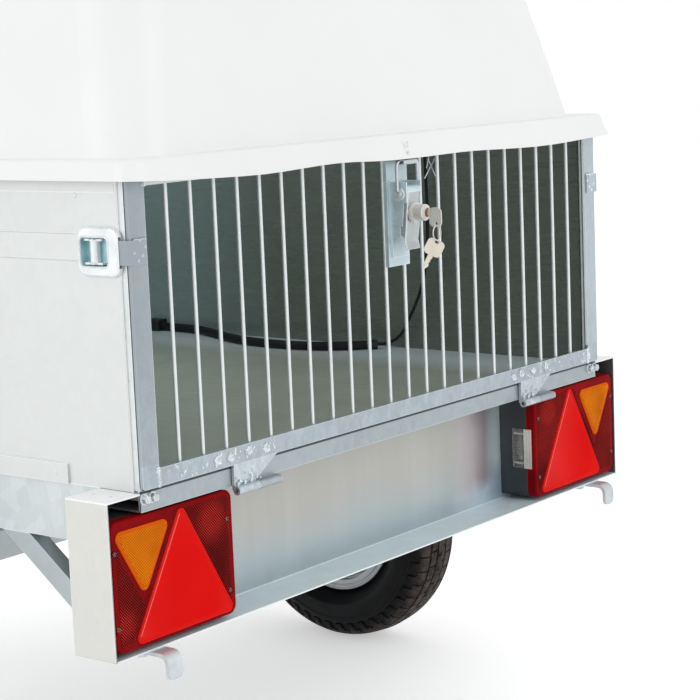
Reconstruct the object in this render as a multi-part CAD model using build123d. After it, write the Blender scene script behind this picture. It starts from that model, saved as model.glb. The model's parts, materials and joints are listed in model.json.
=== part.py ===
"""Car trailer for dogs: galvanised box body with a barred tailgate, a moulded hood lid,
a light board with two rear lamps, one unbraked axle, a straight drawbar and a jockey wheel.

Millimetres. +X is the right side seen from behind, +Y is forward, +Z is up, and the ground is z = 0.
Stations along the trailer are measured from the tailgate's rear face and shifted once, in place(),
so that the origin is on the ground under the middle of the whole trailer.
"""
import os
from math import radians, tan

from build123d import *

# ---------------------------------------------------------------- tailgate
gate_width = 1020.0
gate_thickness = 4.0
stile_width = 28.0
rail_height = 22.0
rail_top_height = 574.0  # top edge of the tailgate's bottom rail above the ground
gate_opening_height = 328.0
gate_corner_radius = 3.0
bar_count = 22
bar_diameter = 5.0
bar_seat = 0.05  # weld gap between a bar and the frame it is welded on
door_gap = 3.0

hinge_axis_height = 520.2
hinge_axis_station = -3.0
hinge_tube_radius = 5.5
hinge_pin_radius = 2.6
hinge_width = 82.0
hinge_insets = (199.0, 179.0)  # left and right, from the tailgate's edge to the hinge's middle
hinge_side_gap = 0.4
hinge_leaf_thickness = 2.2
hinge_leaf_depth = 30.0
pin_clearance = 0.3

keeper_sheet = 2.5
keeper_height = 28.0
keeper_foot = 30.0
keeper_side_gap = 2.5
keeper_reach = 30.0

# ---------------------------------------------------------------- centre latch and keys
latch_plate_width = 46.0
latch_plate_bottom = 757.0
latch_plate_proud = 1.5
latch_base_half = 17.0
latch_base_thickness = 2.0
latch_sheet = 2.0
lever_face = -25.0
lever_lean = 4.0  # top of the lever further to the rear, toe as much further in
lever_bottom = 790.0
lever_pivot = 858.0
lever_depth = 12.0
lever_pin_radius = 2.2
lever_roll_radius = 6.0
bail_top = 897.5
bail_half = 23.0
bail_corner_radius = 7.0
lock_height = 829.0
lock_radius = 11.0
lock_length = 20.0
lock_seat = 2.8  # clear of the leaning lever
key_reach = 72.0  # rearmost point of the key in the lock, from the tailgate's face
key_thickness = 2.2
key_blade_half = 4.0
key_head_height = 26.0
key_head_width = 19.0
key_eye_radius = 3.0
key_eye_height = 814.0
key_eye_inset = 8.0
ring_radius = 10.0
ring_wire_radius = 0.8
ring_hang = 1.5  # from the middle of a key's eye to the middle of the wire in it
ring_turn = 5.0
spare_head = 24.0
spare_blade_length = 25.0
spare_blade_half = 3.5
spare_key_swing = 28.0
spare_key_turn = -52.0

# ---------------------------------------------------------------- box body
body_length = 1230.0
sheet = 1.5
lining_thickness = 12.0
lining_gap = 2.0
floor_thickness = 12.0
floor_drop = 23.0  # floor surface below the tailgate's bottom rail top
rail_web_height = 70.0
rail_flange = 30.0
rail_sheet = 2.5
cross_width = 40.0
wall_side_gap = 0.5
wall_start = 8.0  # from the corner post's rear face to the side wall's rear edge
wall_fold_radius = 2.5
wall_top_flange = 18.0
wall_band_height = 33.0
hem_start = 120.0
hem_height = 24.0
hem_thickness = 3.0
bead_height = 32.0
bead_thickness = 2.5
post_flange = 26.0
post_sheet = 3.0
post_depth = 13.0
sill_sheet = 2.0
sill_gap = 1.0

latch_pan_length = 68.0
latch_pan_height = 58.0
latch_pan_depth = 9.0
latch_pan_sheet = 1.5
latch_rim_thickness = 6.5
latch_rim_skin = 1.5
latch_cup_length = 50.0
latch_cup_height = 36.0
latch_cup_shift = 6.0  # cup's middle ahead of the rim's middle
latch_centre_station = 45.0
latch_centre_height = 828.0
latch_roller_radius = 6.0

# ---------------------------------------------------------------- rear lights
board_side = 56.5  # beyond the tailgate at each end
board_height = 189.0
board_drop = 25.4  # light board's top below the tailgate's bottom rail top
board_rear = 4.5
board_depth = 66.5
board_sheet = 2.0
board_ear_gap = 1.0
stay_pitch = 37.0  # degrees from level
stay_rise = 24.6  # upper edge above the light board's foot
stay_height = 35.0
stay_width = 22.0
stay_sheet = 2.0
hook_inset = 13.0  # from the tailgate's edge
hook_width = 25.0
hook_thickness = 5.0
hook_bend = 14.0
hook_rear = -24.0
hook_drop = 32.0
hook_end_radius = 9.0
hook_overlap = 44.0

lamp_side_gap = 4.5
lamp_bottom = 367.0
lamp_left_width = 210.0
lamp_right_width = 228.0
lamp_gap = 0.6
lens_front = 6.0
lens_back = 21.0
lens_corner = 12.0
reflector_left_inset = 117.0  # from the lamp's outer edge
reflector_right_inset = 130.0
reflector_side = 176.0
reflector_rise = 5.5
reflector_thickness = 3.0
indicator_left_inset = 50.0
indicator_right_inset = 56.0
indicator_side = 98.0
indicator_drop = 11.5
indicator_thickness = 2.0
marker_gap = 0.3
window_rear = 27.0
window_front = 46.0
window_bottom = 411.0
window_top = 472.0
window_pocket = 16.0

# ---------------------------------------------------------------- lid
lip_side = 20.0  # lip's lower edge beyond the tailgate on each side
lip_rear = -26.0
lip_height = 31.0
lip_front_overhang = 22.0
lid_thickness = 3.5
lip_lean = 9.0  # from the lower edge to the top, the sides and the rear lean in this much
lip_edge_rise = (  # across the trailer from left to right: the lower edge against its nominal height
    (-550, 9), (-510, 7), (-450, 3.8), (-371, 1), (-300, -0.6), (-202, 1.8), (-141, 2.3), (-80, -0.4),
    (55, -1.8), (126, -1.4), (200, -3.2), (318, -6), (443, -3), (550, 1),
)
hood_ledge = 33.0
hood_lean = 0.24
hood_height = 330.0
lip_corner_radius = 26.0
hood_corner_radius = 70.0
hood_crown_radius = 60.0
lid_hinge_x = 330.0
lid_hinge_half = 34.0
lid_knuckle_half = 15.0
lid_tube_radius = 6.0
lid_pin_radius = 2.8
lid_hinge_reach = 7.0
lid_hinge_sheet = 3.0
catch_half = 15.0
catch_sheet = 2.0
catch_front = -11.5
catch_rear = -25.5

# ---------------------------------------------------------------- wheels and axle
tyre_radius = 210.0
tyre_width = 115.0
rim_radius = 122.0
rim_sheet = 3.0
rim_flange_height = 14.3
rim_flange_width = 5.0
hub_radius = 30.0
hub_flange_radius = 62.0
wheel_nut_circle = 46.0
wheel_gap = 41.0  # between the tailgate's edge line and the tyre
axle_station = 586.0
axle_tube_size = 50.0
axle_tube_height = 320.0
axle_inset = 10.0
arm_trail = 110.0
arm_thickness = 22.0
stub_radius = 12.5
stub_clearance = 0.5
torsion_radius = 15.0
bracket_length = 110.0
bracket_sheet = 3.0
guard_clearance = 45.0
guard_sheet = 1.5
guard_overhang = 18.0
guard_inner_overhang = 12.0
guard_skirt = 20.0
guard_bracket_offset = 130.0

# ---------------------------------------------------------------- drawbar, coupling and jockey wheel
drawbar_size = 60.0
drawbar_wall = 3.0
drawbar_reach = 790.0  # from the body's front wall to the coupling's ball centre
drawbar_tail = 120.0  # behind the axle tube's middle
coupling_ball_radius = 25.0
coupling_ball_clearance = 0.3
coupling_nose = 42.0
coupling_skirt = 24.0
ball_drop = 12.0  # ball centre below the drawbar's middle

jockey_tube_radius = 24.0
jockey_tube_wall = 3.0
jockey_wheel_radius = 95.0
jockey_wheel_width = 48.0
jockey_station_from_body = 430.0
jockey_side_gap = 14.0
jockey_top_rise = 150.0
jockey_fork_gap = 22.0
jockey_trail = 30.0
jockey_rim_radius = 58.0
jockey_axle_radius = 6.0
jockey_axle_clearance = 0.4
crank_reach = 78.0

# ---------------------------------------------------------------- hose and cable in the cabin
hose_radius = 7.2
sleeve_radius = 7.8
sleeve_length = 16.0
cable_radius = 2.5
floor_clearance = 0.2
arc_share = 0.45
cable_lead = 34.0
hose_route = ((11, 900), (11, 820), (42, 745), (79, 670), (95, 590), (95, 510), (72, 440), (41, 408))
cable_route = (
    (17, 336, 606), (21, 305, 660), (22, 293, 722), (20, 292, 786), (14, 298, 850), (14, 298, 905),
)

# ---------------------------------------------------------------- derived places
gate_half = gate_width / 2
gate_bottom = rail_top_height - rail_height
gate_top = rail_top_height + gate_opening_height + rail_height
bar_pitch = (gate_width - 2 * stile_width) / (bar_count + 1)
hinge_centres = (hinge_insets[0] - gate_half, gate_half - hinge_insets[1])
keeper_outer = gate_half + keeper_side_gap + keeper_sheet

wall_x = gate_half + wall_side_gap
wall_inner = wall_x - sheet
lip_bottom = rail_top_height + gate_opening_height
lip_top = lip_bottom + lip_height
wall_bottom = rail_top_height - board_drop + 0.4
wall_top = lip_top - lid_thickness - 0.5
floor_top = rail_top_height - floor_drop
floor_bottom = floor_top - floor_thickness
rail_bottom = wall_bottom - rail_web_height
lining_x = wall_inner - lining_thickness
lining_top = wall_top - sheet - lining_gap
post_rear = gate_thickness + door_gap
wall_rear = post_rear + wall_start
lining_rear = post_rear + post_depth + 1.0
lining_front = body_length - sheet - lining_thickness
sill_rear = gate_thickness + sill_gap
sill_bottom = hinge_axis_height + hinge_tube_radius

board_bottom = rail_top_height - board_drop - board_height
board_top = board_bottom + board_height
board_front = board_rear + board_depth
lamp_top = sill_bottom - hinge_leaf_thickness - lamp_gap
board_half_width = gate_half + board_side
lamp_outer = board_half_width - lamp_side_gap
lamp_left_inner = lamp_outer - lamp_left_width
lamp_right_inner = lamp_outer - lamp_right_width
reflector_left_x = lamp_outer - reflector_left_inset
reflector_right_x = lamp_outer - reflector_right_inset
indicator_left_x = lamp_outer - indicator_left_inset
indicator_right_x = lamp_outer - indicator_right_inset
hook_x = gate_half - hook_inset

wheel_inner_face = gate_half + wheel_gap
wheel_mid = wheel_inner_face + tyre_width / 2
axle_end = gate_half - axle_inset
torsion_station = axle_station + arm_trail
guard_radius = tyre_radius + guard_clearance
lip_half_width = gate_half + lip_side
lid_front = body_length + lip_front_overhang
lid_axis_station = lid_front + lid_hinge_reach
lid_axis_height = lip_bottom - 4.0

ball_station = body_length + drawbar_reach
drawbar_top = rail_bottom
drawbar_bottom = drawbar_top - drawbar_size
ball_height = drawbar_bottom + drawbar_size / 2 - ball_drop
jockey_station = body_length + jockey_station_from_body
jockey_x = drawbar_size / 2 + jockey_tube_radius + jockey_side_gap
jockey_top = drawbar_top + jockey_top_rise
jockey_fork_top = jockey_wheel_radius * 2 + jockey_fork_gap
y_mid = (ball_station + coupling_nose - key_reach) / 2

hose_height = floor_top + sleeve_radius + floor_clearance

# Route of the hose over the floor, from its clip to the sleeve.
hose_points = [(lining_x - inward, station, hose_height) for inward, station in hose_route]
sleeve_direction = (Vector(*hose_points[-1]) - Vector(*hose_points[-2])).normalized()
sleeve_start = Vector(*hose_points[-1])
cable_start = sleeve_start + sleeve_direction * sleeve_length

# Route of the thin cable, from the sleeve up beside the right lining to its clip.
cable_points = [tuple(cable_start), tuple(cable_start + sleeve_direction * cable_lead)]
cable_points += [(lining_x - inward, station, z) for inward, station, z in cable_route]

os.makedirs("parts", exist_ok=True)


# ---------------------------------------------------------------- shape helpers
def block(x0, x1, y0, y1, z0, z1):
    """Upright block between two corners."""
    return Pos((x0 + x1) / 2, (y0 + y1) / 2, (z0 + z1) / 2) * Box(x1 - x0, y1 - y0, z1 - z0)


def prism_x(points, x0, x1):
    """Outline of (y, z) points, carried from x0 to x1."""
    face = make_face(Polyline(*[(x0, y, z) for y, z in points], close=True))
    return extrude(face, amount=x1 - x0, dir=(1, 0, 0))


def prism_y(points, y0, y1):
    """Outline of (x, z) points, carried from y0 to y1."""
    face = make_face(Polyline(*[(x, y0, z) for x, z in points], close=True))
    return extrude(face, amount=y1 - y0, dir=(0, 1, 0))


def prism_z(points, z0, z1):
    """Outline of (x, y) points, carried from z0 to z1."""
    face = make_face(Polyline(*[(x, y, z0) for x, y in points], close=True))
    return extrude(face, amount=z1 - z0, dir=(0, 0, 1))


def rod_x(x0, x1, y, z, radius):
    return Pos((x0 + x1) / 2, y, z) * Rot(0, 90, 0) * Cylinder(radius, abs(x1 - x0))


def rod_y(y0, y1, x, z, radius):
    return Pos(x, (y0 + y1) / 2, z) * Rot(90, 0, 0) * Cylinder(radius, y1 - y0)


def rod_z(z0, z1, x, y, radius):
    return Pos(x, y, (z0 + z1) / 2) * Cylinder(radius, z1 - z0)


def rounded_plate_x(x0, x1, y, z, length, height, radius):
    """Plate across the X direction with rounded corners."""
    plate = Rot(0, 90, 0) * extrude(RectangleRounded(height, length, radius), amount=x1 - x0)
    return Pos(x0, y, z) * plate


def belt_x(y0, z0, r0, y1, z1, r1, x0, x1):
    """Plate from x0 to x1, shaped like a belt round two circles."""
    first = Vector(y0, z0)
    second = Vector(y1, z1)
    along = (second - first).normalized()
    across = Vector(-along.Y, along.X)
    corners = [first + across * r0, second + across * r1, second - across * r1, first - across * r0]
    belt = prism_x([(corner.X, corner.Y) for corner in corners], x0, x1)
    return belt + rod_x(x0, x1, y0, z0, r0) + rod_x(x0, x1, y1, z1, r1)


def wire_rod(path, radius):
    """Round wire of one radius along a path."""
    return sweep(Plane(path @ 0, z_dir=path % 0) * Circle(radius), path=path)


def cord_tube(name, points, radius):
    """Flexible tube through points, with each arc as large as its two runs allow."""
    corners = [Vector(*point) for point in points]
    runs = [after - before for before, after in zip(corners, corners[1:])]
    radii = []
    for before, after in zip(runs, runs[1:]):
        half_turn = radians(before.get_angle(after)) / 2
        radii.append(arc_share * min(before.length, after.length) / tan(half_turn))
    path = FilletPolyline(*points, radius=radii)
    tube = wire_rod(path, radius)
    print(name, "arc radii", [round(value, 1) for value in radii], "length", round(path.length, 1))
    print(name, "volume", round(tube.volume), "section times length", round(3.14159265 * radius ** 2 * path.length))
    return tube


def mirrored(shape):
    """The same shape on the other side of the trailer."""
    return mirror(shape, Plane.YZ)


def place(name, *shapes):
    """Write one node, moved to the trailer's own origin."""
    moved = [Pos(0, -y_mid, 0) * shape for shape in shapes]
    solids = [solid for shape in moved for solid in shape.solids()]
    result = solids[0] if len(solids) == 1 else Compound(children=solids)
    result.label = name
    export_step(result, f"parts/{name}.step")


def place_pair(name, shape):
    """Write the right-hand node and its mirror image."""
    place(f"{name}_right", shape)
    place(f"{name}_left", mirrored(shape))


# ---------------------------------------------------------------- tailgate pieces
def tailgate_frame():
    outer = block(-gate_half, gate_half, 0, gate_thickness, gate_bottom, gate_top)
    inner = block(
        -gate_half + stile_width, gate_half - stile_width, -1, gate_thickness + 1,
        rail_top_height, gate_top - rail_height,
    )
    frame = outer - inner
    return fillet(frame.edges().filter_by(Axis.Y).group_by(Axis.Z)[0], gate_corner_radius)


def tailgate_bars():
    """Round bars welded on the inner face of the tailgate's frame."""
    station = gate_thickness + bar_diameter / 2 + bar_seat
    low = gate_bottom + rail_height * 0.3
    high = gate_top - rail_height * 0.3
    first = -bar_pitch * (bar_count - 1) / 2
    return [rod_z(low, high, first + i * bar_pitch, station, bar_diameter / 2) for i in range(bar_count)]


def hinge_leaf(centre_x):
    """Leaf under the bottom rail with the tailgate's half of the hinge tube."""
    left = centre_x - hinge_width / 2
    right = centre_x + hinge_width / 2
    clear = hinge_axis_height + hinge_tube_radius + 1.3
    leaf_low = hinge_axis_height + 1
    leaf = prism_y(
        [(left, gate_bottom), (right, gate_bottom), (centre_x - hinge_side_gap, clear),
         (centre_x - hinge_side_gap, leaf_low), (left, leaf_low)],
        0, gate_thickness,
    )
    tube = rod_x(left, centre_x - hinge_side_gap, hinge_axis_station, hinge_axis_height, hinge_tube_radius)
    bore = rod_x(
        left - 1, centre_x + 1, hinge_axis_station, hinge_axis_height, hinge_pin_radius + pin_clearance
    )
    return leaf + tube - bore


def side_keeper():
    """Right strap, welded on the stile and bent forward to the latch in the side wall."""
    low = latch_centre_height - keeper_height / 2
    high = latch_centre_height + keeper_height / 2
    foot = block(keeper_outer - keeper_foot, keeper_outer, -keeper_sheet, 0, low, high)
    leg = block(keeper_outer - keeper_sheet, keeper_outer, -keeper_sheet, keeper_reach, low, high)
    strap = foot + leg
    corner = strap.edges().filter_by(Axis.Z).group_by(Axis.Y)[0].sort_by(Axis.X)[-1]
    return fillet(corner, 2)


def lock_plate():
    """Flat plate over the two middle bars, with the toggle latch's base and its ears."""
    half = latch_plate_width / 2
    plate = block(
        -half, half, -latch_plate_proud, gate_thickness, latch_plate_bottom, gate_top - rail_height
    )
    base_face = -latch_plate_proud - latch_base_thickness
    base = block(
        -latch_base_half, latch_base_half, base_face, -latch_plate_proud,
        latch_plate_bottom + 12, lever_pivot + 14,
    )
    ear = block(
        -latch_base_half, -latch_base_half + latch_sheet, lever_face - lever_lean, base_face,
        lever_pivot - 16, lever_pivot + 12,
    )
    rest = block(
        -latch_base_half, -latch_base_half + latch_sheet, lever_face + 8, base_face,
        lever_bottom + 6, lever_bottom + 22,
    )
    hole = rod_x(
        -latch_base_half - 1, latch_base_half + 1, lever_face + lever_roll_radius, lever_pivot,
        lever_pin_radius + pin_clearance,
    )
    return plate + base + ear + mirrored(ear) + rest + mirrored(rest) - hole


def latch_lever():
    """Pressed lever of the toggle latch, with side flanges, a rolled top and a kicked toe."""
    half = latch_base_half - 3
    top_y = lever_face - lever_lean + latch_sheet
    low_y = lever_face + lever_lean
    face = prism_x(
        [(top_y - latch_sheet, lever_pivot), (top_y, lever_pivot), (low_y, lever_bottom),
         (low_y - latch_sheet, lever_bottom)],
        -half, half,
    )
    side = prism_x(
        [(top_y - 1, lever_pivot), (lever_face + lever_depth, lever_pivot),
         (lever_face + lever_depth, lever_bottom + 12), (low_y - 1, lever_bottom + 4)],
        -half, -half + latch_sheet,
    )
    roll = rod_x(-half, half, lever_face + lever_roll_radius - lever_lean, lever_pivot, lever_roll_radius)
    toe = prism_x(
        [(low_y - latch_sheet, lever_bottom), (low_y, lever_bottom), (low_y - 3, lever_bottom - 10),
         (low_y - 5, lever_bottom - 10)],
        -half, half,
    )
    hole = rod_x(
        -half - 1, half + 1, lever_face + lever_roll_radius, lever_pivot, lever_pin_radius + pin_clearance
    )
    return face + side + mirrored(side) + roll + toe - hole


def latch_bail():
    """Closed wire loop through the lever's roll, reaching up to just under the lid's catch."""
    half = bail_half
    y = lever_face + lever_roll_radius
    path = FilletPolyline(
        (half, y, lever_pivot), (half, y, bail_top), (-half, y, bail_top), (-half, y, lever_pivot),
        radius=bail_corner_radius,
    )
    pin = rod_x(-half, half, y, lever_pivot, lever_pin_radius)
    return wire_rod(path, lever_pin_radius) + pin


def lock_cylinder():
    """Barrel lock on the lever, with its key turned upright."""
    front = lever_face - lock_seat
    barrel = rod_y(front - lock_length, front, 0, lock_height, lock_radius)
    collar = rod_y(front - 4, front, 0, lock_height, lock_radius + 2)
    lock = fillet((barrel + collar).edges().group_by(Axis.Y)[0], 1.5)
    head_station = -key_reach + key_head_width / 2
    half = key_thickness / 2
    blade = block(
        -half, half, head_station, front - lock_length + 1,
        lock_height - key_blade_half, lock_height + key_blade_half,
    )
    head = rounded_plate_x(
        -half, half, head_station, lock_height - 6, key_head_width, key_head_height, 7
    )
    eye = rod_x(-3, 3, -key_reach + key_eye_inset, key_eye_height, key_eye_radius)
    return lock + blade + head - eye


def key_ring():
    """Ring through the key's eye, hanging on its wire."""
    centre_z = key_eye_height - ring_hang - ring_radius
    return Pos(0, -key_reach + key_eye_inset, centre_z) * Rot(0, 0, ring_turn) * Rot(90, 0, 0) * Torus(
        ring_radius, ring_wire_radius
    )


def spare_key():
    """Second key hanging from the ring, turned partly to the left, with its blade's cuts."""
    root = -spare_head / 2 - 4
    tip = root - spare_blade_length
    edge = spare_blade_half
    cuts = [(edge - depth, root - along) for along, depth in ((8, 0), (10, 1.4), (12, 0), (14, 1.8), (16, 0.4))]
    blade = Polyline((-edge, root), (edge, root), *cuts, (edge, tip + 6), (0, tip), (-edge, tip + 6), close=True)
    bow = Pos(0, 3 - spare_head / 2) * RectangleRounded(spare_head, spare_head - 2, 6)
    outline = bow + make_face(blade) - Circle(key_eye_radius)
    plate = Rot(90, 0, 0) * extrude(outline, amount=key_thickness / 2, both=True)
    eye_z = key_eye_height - 2 * ring_hang - 2 * ring_radius
    hang = Pos(0, -key_reach + key_eye_inset, eye_z)
    return hang * Rot(0, 0, spare_key_turn) * Rot(0, spare_key_swing, 0) * plate


# ---------------------------------------------------------------- body pieces
def side_wall():
    """Right side wall: outer sheet, rear fold, top flange, raised bands and latch hole."""
    skin = block(wall_inner, wall_x, wall_rear, body_length, wall_bottom, wall_top)
    fold = rod_z(
        wall_bottom, wall_top, wall_x - wall_fold_radius + 1.2, wall_rear + wall_fold_radius, wall_fold_radius
    )
    fold = fold & block(wall_inner, wall_x + 9, wall_rear, wall_rear + 9, wall_bottom, wall_top)
    rim_half = latch_pan_height / 2 + 1
    fold = fold - block(
        wall_x, wall_x + 9, wall_rear - 1, wall_rear + 9, latch_centre_height - rim_half, latch_centre_height + rim_half
    )
    flange = block(
        wall_x - wall_top_flange, wall_x, wall_rear, body_length - sheet, wall_top - sheet, wall_top
    )
    hem = block(wall_x, wall_x + hem_thickness, hem_start, body_length - 40, wall_bottom, wall_bottom + hem_height)
    bead = block(
        wall_x, wall_x + bead_thickness, latch_centre_station + latch_pan_length / 2 + 0.3, body_length - 60,
        latch_centre_height - 12, latch_centre_height - 12 + bead_height,
    )
    bead = fillet(bead.edges().filter_by(Axis.Y).group_by(Axis.X)[-1], 2)
    band = block(wall_x, wall_x + 1, wall_rear + 4, body_length - 10, wall_top - wall_band_height, wall_top)
    hole = rounded_plate_x(
        wall_x - 5, wall_x + 5, latch_centre_station + latch_cup_shift, latch_centre_height,
        latch_cup_length + 0.6, latch_cup_height + 0.6, 7,
    )
    return skin + fold + flange + hem + bead + band - hole


def side_lining():
    """Film-faced board on the inside of the right wall, with a pocket for the latch pan."""
    board = block(lining_x, wall_inner, lining_rear, lining_front, floor_top, lining_top)
    pocket_y = latch_centre_station + latch_cup_shift
    pocket = block(
        wall_x - latch_pan_depth - 1.5, wall_x,
        pocket_y - latch_cup_length / 2 - 3, pocket_y + latch_cup_length / 2 + 3,
        latch_centre_height - latch_pan_height / 2, latch_centre_height + latch_pan_height / 2,
    )
    return board - pocket


def front_wall():
    skin = block(-wall_inner, wall_inner, body_length - sheet, body_length, wall_bottom, wall_top)
    flange_half = wall_x - wall_top_flange
    flange = block(
        -flange_half, flange_half, body_length - wall_top_flange, body_length, wall_top - sheet, wall_top
    )
    return skin + flange


def front_lining():
    return block(-wall_inner, wall_inner, lining_front, body_length - sheet, floor_top, lining_top)


def rear_post():
    """Right corner post: an angle with its rear flange towards the opening."""
    top = wall_top - sheet
    flange = block(
        wall_inner - post_flange, wall_inner, post_rear, post_rear + post_sheet, sill_bottom + sill_sheet, top
    )
    side = block(wall_inner - post_sheet, wall_inner, post_rear, post_rear + post_depth, floor_top, top)
    return flange + side


def rear_sill():
    """Angle across the rear with the fixed halves of the hinges and their pins."""
    face = block(-gate_half, gate_half, sill_rear, sill_rear + sill_sheet, sill_bottom, gate_bottom - 2)
    foot = block(
        -wall_x, wall_x, sill_rear, board_front - board_sheet, sill_bottom, sill_bottom + sill_sheet
    )
    sill = face + foot
    for centre_x in hinge_centres:
        left = centre_x - hinge_width / 2
        right = centre_x + hinge_width / 2
        start = centre_x + hinge_side_gap
        pin_end = right - 6
        tube = rod_x(start, right, hinge_axis_station, hinge_axis_height, hinge_tube_radius)
        leaf = block(
            start, right, hinge_axis_station, hinge_axis_station + hinge_leaf_depth,
            sill_bottom - hinge_leaf_thickness, sill_bottom,
        )
        mouth = rod_x(pin_end, right + 1, hinge_axis_station, hinge_axis_height, hinge_pin_radius)
        pin = rod_x(left + 8, pin_end, hinge_axis_station, hinge_axis_height, hinge_pin_radius)
        sill = sill + (tube + leaf - mouth) + pin
    return sill


def floor_board():
    half = wall_x - rail_sheet
    return block(-half, half, post_rear + post_sheet, body_length - sheet, floor_bottom, floor_top)


def chassis_rail():
    """Right chassis rail: web outside, flanges inwards under the floor and at the bottom."""
    web = block(wall_x - rail_sheet, wall_x, board_front, body_length, rail_bottom, wall_bottom)
    under = block(wall_x - rail_flange, wall_x, board_front, body_length, rail_bottom, rail_bottom + rail_sheet)
    ledge = block(
        wall_x - rail_flange, wall_x, board_front, body_length, floor_bottom - rail_sheet, floor_bottom
    )
    return web + under + ledge


def cross_members():
    """Box sections between the rails, at the rear, over the axle and at the front."""
    half = wall_x - rail_flange
    low = rail_bottom
    high = floor_bottom
    members = []
    for station in (board_front, torsion_station - cross_width / 2, body_length - cross_width):
        outer = block(-half, half, station, station + cross_width, low, high)
        inner = block(
            -half - 1, half + 1, station + rail_sheet, station + cross_width - rail_sheet,
            low + rail_sheet, high - rail_sheet,
        )
        members.append(outer - inner)
    return members


# ---------------------------------------------------------------- axle and wheels
def axle_bracket():
    """Folded bracket between the right end of the axle tube and the chassis rail."""
    inner = wall_x - rail_flange
    outer = inner + rail_flange - bracket_sheet
    y0 = torsion_station - bracket_length / 2
    y1 = torsion_station + bracket_length / 2
    seat_height = axle_tube_height + axle_tube_size / 2
    seat = block(inner - 2 * bracket_sheet, axle_end, y0, y1, seat_height, seat_height + bracket_sheet)
    web = block(inner - 2 * bracket_sheet, inner - bracket_sheet, y0, y1, seat_height, rail_bottom)
    head = block(inner - 2 * bracket_sheet, outer, y0, y1, rail_bottom - bracket_sheet, rail_bottom)
    rib = block(
        inner - bracket_sheet, axle_end - 4, torsion_station - 2, torsion_station + 2, seat_height, rail_bottom
    )
    return seat + web + head + rib


def axle_beam():
    """Torsion axle tube with its rail brackets and the saddle that carries the drawbar."""
    y = torsion_station
    half = axle_tube_size / 2
    tube = block(-axle_end, axle_end, y - half, y + half, axle_tube_height - half, axle_tube_height + half)
    tube = fillet(tube.edges().filter_by(Axis.X), 5)
    mouth = rod_x(axle_end - 60, axle_end + 1, y, axle_tube_height, torsion_radius + 1)
    tube = tube - mouth - mirrored(mouth)
    saddle_half = drawbar_size / 2 + 4
    saddle = block(-saddle_half, saddle_half, y - 40, y + 40, axle_tube_height + half, drawbar_bottom)
    hollow = block(
        -saddle_half + bracket_sheet, saddle_half - bracket_sheet, y - 41, y + 41,
        axle_tube_height + half + bracket_sheet, drawbar_bottom - bracket_sheet,
    )
    bracket = axle_bracket()
    return tube + (saddle - hollow) + bracket + mirrored(bracket)


def trailing_arm():
    """Right arm of the torsion axle with its inner shaft and its stub axle."""
    inner = axle_end + 3
    outer = inner + arm_thickness
    web = belt_x(torsion_station, axle_tube_height, 24, axle_station, tyre_radius, 21, inner, outer)
    torsion = rod_x(axle_end - 55, inner, torsion_station, axle_tube_height, torsion_radius)
    stub = rod_x(outer, wheel_mid + 18, axle_station, tyre_radius, stub_radius)
    return web + torsion + stub


def mudguard():
    """Right mudguard: an arched sheet with a turned-down outer edge, on two brackets."""
    y = axle_station
    z = tyre_radius
    inner = wheel_inner_face - guard_inner_overhang
    outer = wheel_inner_face + tyre_width + guard_overhang
    arch = rod_x(inner, outer, y, z, guard_radius)
    arch = arch - rod_x(inner - 1, outer + 1, y, z, guard_radius - guard_sheet)
    skirt = rod_x(outer - guard_sheet, outer, y, z, guard_radius)
    skirt = skirt - rod_x(outer - 9, outer + 9, y, z, guard_radius - guard_skirt)
    below = block(inner - 5, outer + 5, y - 400, y + 400, z - 400, z + 30)
    guard = arch + skirt - below
    bracket_top = z + (guard_radius ** 2 - guard_bracket_offset ** 2) ** 0.5
    inside = rod_x(inner, outer + 9, y, z, guard_radius - guard_sheet - 0.01)
    for station in (y - guard_bracket_offset, y + guard_bracket_offset):
        tab = block(wall_x + 0.2, wall_x + 4.2, station - 20, station + 20, bracket_top - 16, rail_bottom + 45)
        arm = block(wall_x + 0.2, inner + 60, station - 20, station + 20, bracket_top - 16, bracket_top - 12)
        guard = guard + tab + (arm - inside)
    return guard


def tyre():
    """Right tyre: cross-ply section with a rounded tread."""
    half = tyre_width / 2
    bead_half = half * 0.62
    bead = rim_radius + 1.5
    floor = rim_radius - rim_flange_height + 0.3
    side = [
        (-bead_half, bead), (-half * 0.98, rim_radius + 24), (-half, tyre_radius - 48),
        (-half * 0.88, tyre_radius - 22), (-half * 0.62, tyre_radius - 5),
    ]
    profile = side + [(0, tyre_radius)] + [(-x, radius) for x, radius in reversed(side)]
    crown = Spline(*[(wheel_mid + x, axle_station, tyre_radius + radius) for x, radius in profile])
    base_half = bead_half - 0.4
    base = Polyline(
        (wheel_mid + bead_half, axle_station, tyre_radius + bead),
        (wheel_mid + base_half, axle_station, tyre_radius + bead),
        (wheel_mid + base_half, axle_station, tyre_radius + floor),
        (wheel_mid - base_half, axle_station, tyre_radius + floor),
        (wheel_mid - base_half, axle_station, tyre_radius + bead),
        (wheel_mid - bead_half, axle_station, tyre_radius + bead),
    )
    return revolve(make_face(crown + base), axis=Axis((wheel_mid, axle_station, tyre_radius), (1, 0, 0)))


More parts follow.
